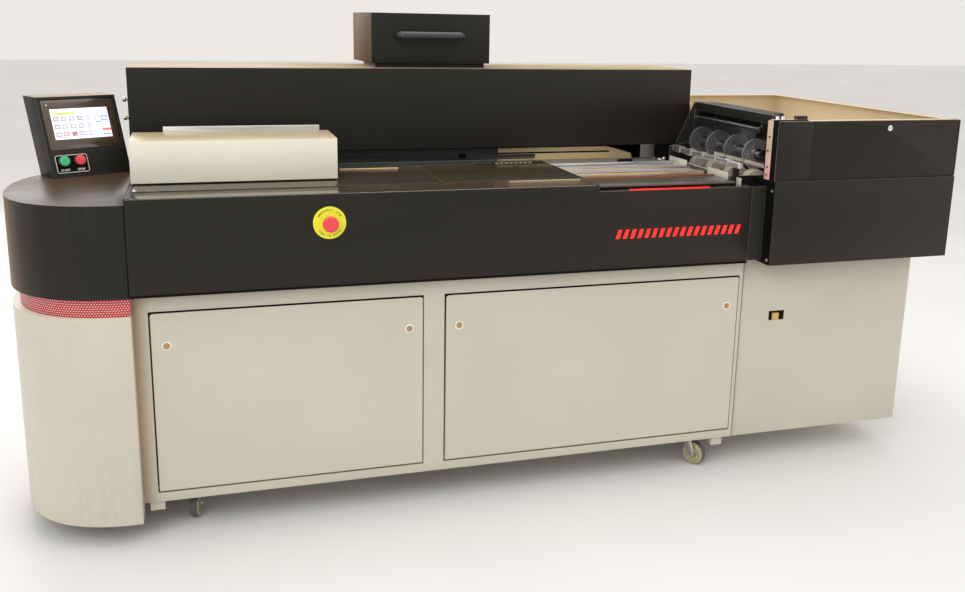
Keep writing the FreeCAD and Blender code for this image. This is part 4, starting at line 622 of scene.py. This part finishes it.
# thin strips let into the table: where they lie, how high they stand and their finish
tableStrip = {"foot": 989.8, "width": 1.2, "depth": -0.2}
strips = {
    "table_apron": {"x": (625, 1150), "y": (480, 544), "top": 990.4, "look": "fasciaDark"},
    "table_ledge": {"x": (625, 1203), "y": (546, 556), "top": 991.0, "look": "ledgeGrey"},
    "long_slot": {"x": (962, 1078), "y": (462, 485), "top": 991.1, "look": "blackInk"},
    "short_slot": {"x": (832, 903), "y": (436, 449), "top": 990.8, "look": "blackInk"},
    # the edging shares the shelf's paler cream gold, partly painted light
    "table_edging": {"x": (625, 815), "y": (428, 435), "top": 990.6, "look": "creamGold"},
    "chain_bed": {"x": (1152, 1338), "y": (462, 486), "top": 990.4, "look": "sealBlack"},
    "left_table_line": {"x": (8, 600), "y": (104, 107), "top": 990.5, "look": "sealBlack"},
    "right_table_line": {"x": (1090, 1322), "y": (105, 108), "top": 990.4, "look": "paleGold"},
}
for name, strip in strips.items():
    piece = seal(strip["x"], strip["y"], (tableStrip["foot"], strip["top"]), up, tableStrip["width"],
                 tableStrip["depth"])
    finished(piece, name, strip["look"], "machine")
readyLamp = rod(880, 442, 990.4, radius=3.0, length=1.6, sides=20)
finished(stepIn(readyLamp, up, 1.0, 0.4), "ready_lamp", "lampRed", "machine", 0.3)
fasciaSensor = stepIn(block(x=(1066, 1092), y=(611, 621.8), z=(992, 1005)), front, 2.5, -2.0)
finished(fasciaSensor, "fascia_sensor", "sealBlack", "machine", 0.8)
print("sheet-metal housings dressed")

# strips along the seams: near-black ones under the front cover, beside the pod and at the upper panel's
# corner, an olive one of painted shade in the seam beside the right housing; the lips along the cover's top
# edge are a painted highlight, grey on the left and warmer on the right
seals = {
    "cover_seal": {"shape": dict(x=(1.0, 1862.0), y=(-0.35, 0.6), z=(720.4, 727.2), width=1.6, depth=-0.15)},
    # olive strip in the seam beside the right housing: painted shade
    "seam_seal": {"shape": dict(x=(1884.9, 1887.1), y=(49.2, 52.6), z=(101, 717), width=0.4, depth=-0.3,
                                corner=0.4), "look": "seamOlive", "slot": "beige_paint"},
    "pod_seal": {"shape": dict(x=(-2.4, 1.0), y=(-0.4, 0.6), z=(722, 973), width=0.6, depth=-0.2)},
    # the lips along the cover's top edge: a painted highlight, grey on the left and warmer on the right
    "left_lip": {"shape": dict(x=(3, 620), y=(-0.3, 0.6), z=(987.4, 989.4), width=0.4, depth=-0.1),
                 "look": "ledgeGrey"},
    "right_lip": {"shape": dict(x=(620, 1332), y=(-0.3, 0.6), z=(987.4, 989.4), width=0.4, depth=-0.1),
                  "look": "seamOlive"},
    "panel_corner": {"shape": dict(x=(1908.3, 1909.6), y=(-47.6, -19), z=(986.5, 1179.6), facing=left,
                                   width=1.2, depth=-0.15, corner=0.4)},
}
for name, strip in seals.items():
    piece = seal(**{"facing": front, **strip["shape"]})
    finished(piece, name, strip.get("look", "sealBlack"), "machine")

# doors: the gap round each door is painted: a near-black band of painted shadow along the top and left of
# each, a brown band of painted shade at the right and below
doorGapShade = {"width": 1.8, "lighterBand": 4, "frontDepth": 1, "mostCorners": 9}
anywhere, lighterBand = 9.0, doorGapShade["lighterBand"] * mm
for node in ["left_door", "right_door"]:
    door = copied(node)
    door.data.materials.append(looks["sealBlack"])
    door.data.materials.append(looks["doorBrown"])
    door.data.materials[0] = looks["beigePaint"]
    frontY, lowZ = min(v.co.y for v in door.data.vertices), min(v.co.z for v in door.data.vertices)
    rightX, deep = max(v.co.x for v in door.data.vertices), doorGapShade["frontDepth"] * mm
    pick(door, front, (-anywhere, frontY - deep, -anywhere), (anywhere, frontY + deep, anywhere))
    bpy.ops.mesh.inset(thickness=doorGapShade["width"] * mm, depth=0)
    mode("OBJECT")
    # the band and the door's edges: painted shadow near the top and left, lighter painted shade near the
    # right and bottom
    for face in door.data.polygons:
        onFront = face.normal.y < -0.9 and face.center.y < frontY + deep
        onSide = abs(face.normal.y) < 0.5 and len(face.vertices) < doorGapShade["mostCorners"]
        if (onFront and not face.select) or onSide:
            lighterSide = face.center.z < lowZ + lighterBand or face.center.x > rightX - lighterBand
            face.material_index = 2 if lighterSide else 1
    dressed(node, 0.5, "beigePaint", piece=door)
print("doors trimmed")

# quarter-turn locks: a white ring with a brown turning core
lockCore = {"radius": 9.4, "height": 0.6, "socket": 0.35, "y": 44.0, "z": 567,
            "places": {"left_door_left_lock": 86, "left_door_right_lock": 771,
                       "right_door_left_lock": 924, "right_door_right_lock": 1828}}
for node, x in lockCore["places"].items():
    dressed(node, 0.7)
    heads(node + "_core", head(lockCore["radius"], lockCore["height"], lockCore["socket"]),
          [(x, lockCore["y"], lockCore["z"])], front, "lockTan", bodyOf[node])
print("locks set")

# emergency stop: a yellow disc with lettering round it and a red mushroom head
stopDisc = {"x": 535, "z": 907, "front": -3.0, "above": "EMERGENCY STOP", "below": "TURN TO RESET",
            "letterRadius": 36.5, "letterSize": 8.0, "letterStep": 9.0, "weight": 0.12, "halfHeight": 0.36}
dressed("estop_base", 0.7)
dressed("estop_head", 1.2, "redButton", segments=3)
dressed("estop_stem", 0.4)


# flat letters as thin solids, drawn facing -Y with the baseline at z = 0
def lettering(words, size, look, thick=0.25, weight=0.0):
    nothingSelected()
    bpy.ops.object.text_add(location=(0, 0, 0))
    piece = bpy.context.object
    piece.data.body = words
    piece.data.size = size * mm
    piece.data.extrude = thick * mm / 2
    piece.data.offset = weight * mm
    piece.data.align_x = "CENTER"
    bpy.ops.object.convert(target="MESH")
    piece = bpy.context.object
    piece.data.transform(Matrix.Rotation(math.pi / 2, 4, "X"))
    piece.data.materials.clear()
    piece.data.materials.append(looks[look])
    return piece


# each letter is turned to its place round the disc
ring = []
discMiddle = Matrix.Translation(at(stopDisc["x"], stopDisc["front"], stopDisc["z"]))
for words, side in ((stopDisc["above"], 1), (stopDisc["below"], -1)):
    for i, letter in enumerate(words):
        if letter == " ":
            continue
        angle = side * math.radians(stopDisc["letterStep"]) * (i - (len(words) - 1) / 2)
        baseline = side * stopDisc["letterRadius"] - stopDisc["letterSize"] * stopDisc["halfHeight"]
        one = lettering(letter, stopDisc["letterSize"], "blackInk", weight=stopDisc["weight"])
        one.data.transform(Matrix.Translation((0, 0, baseline * mm)))
        one.data.transform(discMiddle @ Matrix.Rotation(angle, 4, "Y"))
        ring.append(one)
finished(joined(ring), "estop_letters", "blackInk", "machine")
print("emergency stop done")

# console on the pod: everything is drawn upright, then turned and leaned back with the shell
console = {"x": -225, "y": 481, "z": 974, "turn": 28.5, "lean": -21.006}
consoleTurn = (Matrix.Translation(at(console["x"], console["y"], console["z"]))
               @ Matrix.Rotation(math.radians(console["turn"]), 4, "Z")
               @ Matrix.Rotation(math.radians(console["lean"]), 4, "X") @ Matrix.Translation(-at(0, 0, 0)))


def onConsole(piece):
    piece.data.transform(consoleTurn)
    return piece


# a thin tile with rounded corners and an inner field of another finish
def tile(x, z, width, height, nearY, farY, corner, rim, rimLook, fieldLook):
    piece = block((x, x + width), (nearY, farY), (z, z + height))
    piece.data.materials.append(looks[rimLook])
    if corner:
        only(piece)
        mode("EDIT")
        bpy.ops.mesh.select_mode(type="EDGE")
        bpy.ops.mesh.select_all(action="DESELECT")
        mode("OBJECT")
        for edge in piece.data.edges:
            first, second = (piece.data.vertices[i].co for i in edge.vertices)
            edge.select = abs(first.y - second.y) > abs(first.x - second.x) + abs(first.z - second.z)
        mode("EDIT")
        bpy.ops.mesh.bevel(offset=corner * mm, segments=4)
        mode("OBJECT")
    pick(piece, front)
    bpy.ops.mesh.inset(thickness=rim * mm, depth=0)
    mode("OBJECT")
    piece.data.materials.append(looks[fieldLook])
    for face in piece.data.polygons:
        if face.select:
            face.material_index = 1
    return piece


# the lit screen: rows of framed icons, a narrow column beside them, and a few bars and boxes
screen = {"x": 33, "z": 119, "width": 178, "height": 97, "front": 2.25, "thick": 0.24, "edge": 0.6,
          "rim": 0.4}
icon = {"width": 17, "height": 15, "rim": 4.3, "columns": (0.075, 0.205, 0.345, 0.485),
        "rows": (0.33, 0.58, 0.83), "y": (screen["front"] - 0.2, screen["front"] - 0.02), "corner": 1.2}
narrow = {"u": 0.63, "width": 11, "height": 17, "rim": 3.0}
dressed("touch_screen", 0.7, "bezelGloss")
lit = tile(screen["x"] + screen["edge"], screen["z"] + screen["edge"], screen["width"] - 2 * screen["edge"],
           screen["height"] - 2 * screen["edge"], screen["front"], screen["front"] + screen["thick"], 0,
           screen["rim"], "screenGlow", "screenGlow")
finished(onConsole(lit), "screen_field", "screenGlow", "machine")


# u and v give a tile's middle as shares of the screen, from its left and from its top
def onScreen(u, v, width, height, rim, rimLook="screenBlue", fieldLook="screenGlow"):
    x = screen["x"] + u * screen["width"] - width / 2
    z = screen["z"] + (1 - v) * screen["height"] - height / 2
    return onConsole(tile(x, z, width, height, *icon["y"], icon["corner"], rim, rimLook, fieldLook))


tiles = []
for r, v in enumerate(icon["rows"]):
    for c, u in enumerate(icon["columns"]):
        rimLook = "screenGrey" if c == 0 or (r, c) in ((0, 3), (2, 2)) else "screenBlue"
        rimLook = "screenRed" if (r, c) == (2, 1) else rimLook
        fieldLook = "screenRed" if (r, c) == (2, 2) else "screenGlow"
        tiles.append(onScreen(u, v, icon["width"], icon["height"], icon["rim"], rimLook, fieldLook))
    tiles.append(onScreen(narrow["u"], v, narrow["width"], narrow["height"], narrow["rim"],
                          "screenGrey" if r == 1 else "screenBlue"))
screenBoxes = {
    "title": dict(u=0.23, v=0.16, width=58, height=7, rim=1.6, rimLook="screenGreen",
                  fieldLook="screenGreen"),
    "tallBox": dict(u=0.80, v=0.38, width=17, height=22, rim=3.0),
    "wideBox": dict(u=0.92, v=0.36, width=20, height=18, rim=4.4),
    "lowBox": dict(u=0.87, v=0.53, width=32, height=7, rim=1.8),
    "redBar": dict(u=0.92, v=0.74, width=27, height=8, rim=2.0, rimLook="screenRed", fieldLook="screenRed"),
    "blueBar": dict(u=0.91, v=0.90, width=26, height=5, rim=1.2, fieldLook="screenBlue"),
}
tiles += [onScreen(**shape) for shape in screenBoxes.values()]
finished(joined(tiles), "screen_icons", None, "machine")
screenLamp = {"x": 27, "y": 1.98, "z": 229, "radius": 1.6, "height": 0.6, "socket": 0.6}
lamp = head(screenLamp["radius"], screenLamp["height"], screenLamp["socket"])
lamp.data.transform(Matrix.Translation(at(screenLamp["x"], screenLamp["y"], screenLamp["z"]))
                    @ Matrix.Rotation(math.pi / 2, 4, "X"))
finished(onConsole(lamp), "screen_lamp", "screenGlow", "machine")

# the two buttons, with a white line round them and a word under each
plate = {"x": 16, "z": 14, "width": 98, "height": 56, "front": -2.3, "thick": 0.28, "corner": 8, "line": 1.9}
outline = tile(plate["x"], plate["z"], plate["width"], plate["height"], plate["front"],
               plate["front"] + plate["thick"], plate["corner"], plate["line"], "whiteLine", "sealBlack")
finished(onConsole(outline), "button_outline", None, "machine")
buttons = {"start_button": {"x": 41, "word": "START", "look": "greenButton"},
           "stop_button": {"x": 89, "word": "STOP", "look": "redButton"}}
buttonWord = {"size": 9.5, "weight": 0.28, "y": -2.42, "z": 19.5}
buttonRim = {"width": 2.2, "depth": 0.5}
for node, button in buttons.items():
    cap = copied(node)
    outward = (consoleTurn.to_3x3() @ Vector(front)).normalized()
    stepIn(cap, outward, buttonRim["width"], buttonRim["depth"])
    dressed(node, 0.8, piece=cap, look=button["look"])
    word = lettering(button["word"], buttonWord["size"], "whiteLine", weight=buttonWord["weight"])
    word.data.transform(Matrix.Translation(at(button["x"], buttonWord["y"], buttonWord["z"])))
    finished(onConsole(word), node + "_word", "whiteLine", "machine")
print("console done")

# nip station: bright bars, pale gold rails, a brown plate in front and the tan shelf behind
rests = copied("cover_rests")
# the tan shelf: its cream gold is paler than the paint, partly painted light
painted(rests, "creamGold", x=(1200, 1760), y=(600, 660), z=(940, 1040))
dressed("cover_rests", 0.5, "brownPlate", piece=rests)
shelfSlot = stepIn(block(x=(1212, 1640), y=(621.2, 622.4), z=(1001, 1006.5)), front, 1.0, -0.4)
finished(shelfSlot, "shelf_slot", "sealBlack", "machine", 0.3)
shelfFoot = stepIn(block(x=(1208, 1352), y=(621.2, 622.4), z=(983, 999.5)), front, 1.6, -0.3)
finished(shelfFoot, "shelf_foot", "brownPlate", "machine", 0.4)
rails = copied("nip_rails")
painted(rails, "barLilac", x=(1340, 1830), y=(266, 332), z=(930, 990))
painted(rails, "rustRail", x=(1340, 1830), y=(156, 167), z=(930, 990))
dressed("nip_rails", 0.5, "paleGold", piece=rails)
dressed("nip_front_bar", 0.6, "barBright")
rearBar = dressed("nip_rear_bar", 0.6, "barBright")
painted(rearBar, "sealBlack", x=(1621, 1673), y=(440, 600), z=(985.3, 1000))
stopBolt = {"radius": 8.0, "height": 7.0, "socket": 0.45, "sides": 6}
for side, place in {"left": (1785, 500, 984.9), "right": (1812, 522, 984.9)}.items():
    heads("nip_stop_bolt_" + side, head(**stopBolt), [place], up, "boltBright", "rear_nip")
barScrews = {"radius": 5.0, "height": 2.2, "first": 1372, "pitch": 143, "count": 4}
bars = {"front_nip": {"rows": (416,), "top": 985.0}, "rear_nip": {"rows": (500, 580), "top": 982.0}}
for body, bar in bars.items():
    places = [(barScrews["first"] + barScrews["pitch"] * i, y, bar["top"])
              for y in bar["rows"] for i in range(barScrews["count"])]
    heads(body + "_screws", head(barScrews["radius"], barScrews["height"]), places, up, "zinc", body)

# chain of the glue station, seen as a row of links in its slot line
chain = {"first": 1158, "pitch": 17.0, "count": 8, "y": 470, "length": 11, "width": 9, "z": (990.0, 991.6),
         "rim": 1.6, "raised": 0.5}
links = []
for i in range(chain["count"]):
    x = chain["first"] + chain["pitch"] * i
    link = block((x, x + chain["length"]), (chain["y"], chain["y"] + chain["width"]), chain["z"])
    links.append(stepIn(link, up, chain["rim"], chain["raised"]))
finished(joined(links), "chain_links", "barBright", "machine", 0.3)
print("nip station done")

# cover feeder: clear discs on a steel shaft, cream drums below, black plates at both ends
feeder = {"x": 1945, "discZ": 1054, "drumZ": 963.4, "shaftReach": 20.5, "rimFrom": 45}
discs = dressed("feed_discs", 0.4, "clearPlastic")
# the discs' outer rims: a paler, less clear finish, a painted highlight on their edges
discs.data.materials.append(looks["discRim"])
shaftMiddle = at(feeder["x"], 0, feeder["discZ"])
for face in discs.data.polygons:
    away = face.center - shaftMiddle
    if abs(face.normal.y) < 0.9 and math.hypot(away.x, away.z) > feeder["rimFrom"] * mm:
        face.material_index = 1
paintedRound(discs, "steelAlongY", feeder["x"], feeder["discZ"], feeder["shaftReach"])
drums = dressed("feed_drums", 1.5, "creamRubber", segments=3)
paintedRound(drums, "steelAlongY", feeder["x"], feeder["drumZ"], feeder["shaftReach"])
frameWork = copied("feeder_frame")
painted(frameWork, "barBright", x=(1830, 1866), y=(40, 512), z=(1010, 1042))
painted(frameWork, "creamPaint", x=(1850, 1857), y=(40, 512), z=(948, 988))
painted(frameWork, "steelAlongY", x=(1830, 1846), y=(86.5, 507.5), z=(970, 990))
dressed("feeder_frame", 0.6, "blackFlat", edge="blackEdge", piece=frameWork)

# the cheek behind the discs leans back towards its top
cheek = {"x": (1850, 1950), "y": (514.2, 516.2), "z": (1042, 1188.5), "middleX": 1900, "footX": 1851,
         "topX": 1917}
cheekPlate = block(cheek["x"], cheek["y"], cheek["z"])
middleHeight = sum(cheek["z"]) / 2 * mm
for corner in cheekPlate.data.vertices:
    if corner.co.x < at(cheek["middleX"], 0, 0).x:
        corner.co.x = at(cheek["topX"] if corner.co.z > middleHeight else cheek["footX"], 0, 0).x
finished(cheekPlate, "feeder_cheek", "blackFlat", "machine", 0.5, edge="blackEdge")
guardHinge = {"x": 1928, "z": 1138, "reach": 5.2}
paintedRound(dressed("feeder_guard", 0.5, "smoked"), "steelAlongY", **guardHinge)
for node in ["front_side_guide", "rear_side_guide"]:
    dressed(node, 0.5, "creamPaint")
print("feeder done")

# casters: zinc forks, yellow-grey wheels with a dark tread, ridges round the hub and a nut on each side
casterWheels = {
    "front_left": {"x": 135, "y": 110, "turn": 75}, "front_right": {"x": 1755, "y": 110, "turn": -60},
    "rear_left": {"x": 135, "y": 820, "turn": 90}, "rear_right": {"x": 1755, "y": 820, "turn": 90},
}
wheel = {"trail": 28, "axleZ": 40, "halfWidth": 12, "ridges": {31: 1.3, 15: 1.5, 9: 1.2}, "ridgeFlat": 0.8,
         "treadFrom": 37.5, "nut": {"radius": 6.5, "height": 3.0, "socket": 0.5, "sides": 6}, "nutOut": 5.0}
for corner, caster in casterWheels.items():
    angle = math.radians(caster["turn"])
    axle = (caster["x"] + wheel["trail"] * math.cos(angle), caster["y"] + wheel["trail"] * math.sin(angle),
            wheel["axleZ"])
    along = Vector((-math.sin(angle), math.cos(angle), 0))
    facing = Vector(up).rotation_difference(along).to_matrix().to_4x4()
    roller = dressed(corner + "_wheel", 2.0, "wheelYellow", segments=3)
    roller.data.materials.append(looks["darkTyre"])
    hub = at(*axle)
    for face in roller.data.polygons:
        out = face.center - hub
        if (out - along * out.dot(along)).length > wheel["treadFrom"] * mm:
            face.material_index = 1
    ridges = []
    for side in (-1, 1):
        out = at(*[axle[i] + along[i] * side * wheel["halfWidth"] for i in range(3)])
        for radius, thick in wheel["ridges"].items():
            nothingSelected()
            bpy.ops.mesh.primitive_torus_add(major_radius=radius * mm, minor_radius=thick * mm,
                                             major_segments=48, minor_segments=8)
            ridge = bpy.context.object
            mode("EDIT")
            bpy.ops.transform.resize(value=(1, 1, wheel["ridgeFlat"]), center_override=(0, 0, 0))
            mode("OBJECT")
            ridge.data.transform(Matrix.Translation(out) @ facing)
            ridges.append(ridge)
    finished(joined(ridges), corner + "_wheel_ridges", "zinc", bodyOf[corner + "_wheel"],
             smooth=60)
    for i, side in enumerate((-1, 1)):
        place = [axle[j] + along[j] * side * (wheel["halfWidth"] + wheel["nutOut"]) for j in range(3)]
        heads("%s_nut_%d" % (corner, i), head(**wheel["nut"]), [place], along * side, "zinc",
              bodyOf.get(corner + "_fork", "machine"))
for node in ["front_left_fork", "front_right_fork"]:
    dressed(node, 0.5)
mounts = dressed("caster_mounts", 0.7)
footBlocks = {"width": 70, "left": (10, 1810), "y": (40, 900), "z": (69, 99.5)}
for x in footBlocks["left"]:
    painted(mounts, "beigePaint", (x, x + footBlocks["width"]), footBlocks["y"], footBlocks["z"])

# one screw in the housing beside the right door, and four bolts in the plate above each caster
housingScrew = [(1896, 51.9, 379)]
heads("housing_screw", head(radius=4.6, height=1.4), housingScrew, front, "zinc", "machine")
plateBolt = {"radius": 6.0, "height": 4.0, "sides": 6}
spread, underPlate = (-34, 34), 96.9
plateBolts = [(caster["x"] + dx, caster["y"] + dy, underPlate) for caster in casterWheels.values()
              for dx in spread for dy in spread]
down = (0, 0, -1)
heads("caster_bolts", head(**plateBolt), plateBolts, down, "zinc", "machine")
print("casters done")

# hood handle: a thick grip between two square standoffs
dressed("hood_handle", 2.0, "gripBlack", segments=3)

# bolts and screws in the left side of the rear housing, of the right-hand cover and of the panel above it
screws = {
    "rear_end_bolts": {"head": dict(radius=8.5, height=3.0), "look": "zinc", "slot": "zinc",
                       "places": [(-20.9, 600, 1145), (-20.9, 600, 1202)]},
    "lower_cover_screws": {"head": dict(radius=5.6, height=1.6), "look": "boltBright", "slot": "steel",
                           "places": [(1910.1, -39, 959), (1910.1, -39, 737)]},
    "front_panel_screws": {"head": dict(radius=3.4, height=1.4), "look": "sealBlack", "slot": "black_paint",
                           "places": [(1908.9, -4, 1125), (1908.9, 1, 1081), (1908.9, -2, 1030),
                                      (1908.9, 0, 1006)]},
}
for name, group in screws.items():
    heads(name, head(**group["head"]), group["places"], left, group["look"], "machine")
print("handle, bolts and screws done")

# a wide pale floor
nothingSelected()
bpy.ops.mesh.primitive_plane_add(size=60, location=(0, 0, 0))
floor = bpy.context.object
floor.name = "floor"
floorTone = {"dark": (0.80, 0.80, 0.80), "pale": (0.86, 0.86, 0.86), "range": (0.3, 0.7),
             "gloss": (0.55, 0.7), "driftScale": 0.6}
floorLook = Look("floorLook", Specular_IOR_Level=0.25)
drift = floorLook.noise(floorTone["driftScale"])
floor.data.materials.append(floorLook.give(
    Base_Color=floorLook.blend(floorLook.spread(drift, *floorTone["range"]), shade(floorTone["dark"]),
                               shade(floorTone["pale"])),
    Roughness=floorLook.spread(drift, *floorTone["range"], *floorTone["gloss"])))

# a warm white sky
sky = {"colour": (1.0, 0.965, 0.92, 1.0), "strength": 0.85}
world = bpy.data.worlds.new("studio")
bpy.context.scene.world = world
world.use_nodes = True
world.node_tree.nodes["Background"].inputs["Color"].default_value = sky["colour"]
world.node_tree.nodes["Background"].inputs["Strength"].default_value = sky["strength"]

# place, size, power and aim of each soft light, in metres and watts
softLights = {
    "keyLight": {"place": (-3.2, -3.6, 3.8), "size": 3.0, "power": 70, "aim": (0, 0, 0.8)},
    "topLight": {"place": (0.4, 0.4, 4.2), "size": 4.0, "power": 70, "aim": (0, 0, 0.6)},
    "sideLight": {"place": (3.8, -3.0, 2.4), "size": 2.2, "power": 14, "aim": (0.3, 0, 0.8)},
    "backLight": {"place": (-1.5, 4.2, 3.2), "size": 3.0, "power": 70, "aim": (0, 0, 1.0)},
}
for name, light in softLights.items():
    lamp = bpy.data.lights.new(name, "AREA")
    lamp.size = light["size"]
    lamp.energy = light["power"]
    holder = linked(name, lamp)
    holder.location = light["place"]
    aim = Vector(light["aim"]) - Vector(light["place"])
    holder.rotation_euler = aim.to_track_quat("-Z", "Y").to_euler()

# lens, shift and place of a view from the front, its angles in degrees
view = {"lens": 36.657, "sensor": 36, "shift": (-0.0116, -0.0574), "clip": (0.05, 200),
        "place": (-0.93754, -3.18354, 1.46797), "angles": (77.2977, -1.0951, -16.7471)}
camera = bpy.data.cameras.new("camera")
camera.lens, camera.sensor_width = view["lens"], view["sensor"]
camera.shift_x, camera.shift_y = view["shift"]
camera.clip_start, camera.clip_end = view["clip"]
eye = linked("camera", camera)
eye.location = view["place"]
eye.rotation_euler = [math.radians(angle) for angle in view["angles"]]
bpy.context.scene.camera = eye
bpy.context.scene.view_settings.view_transform = "Standard"
print("floor, lights and camera set")
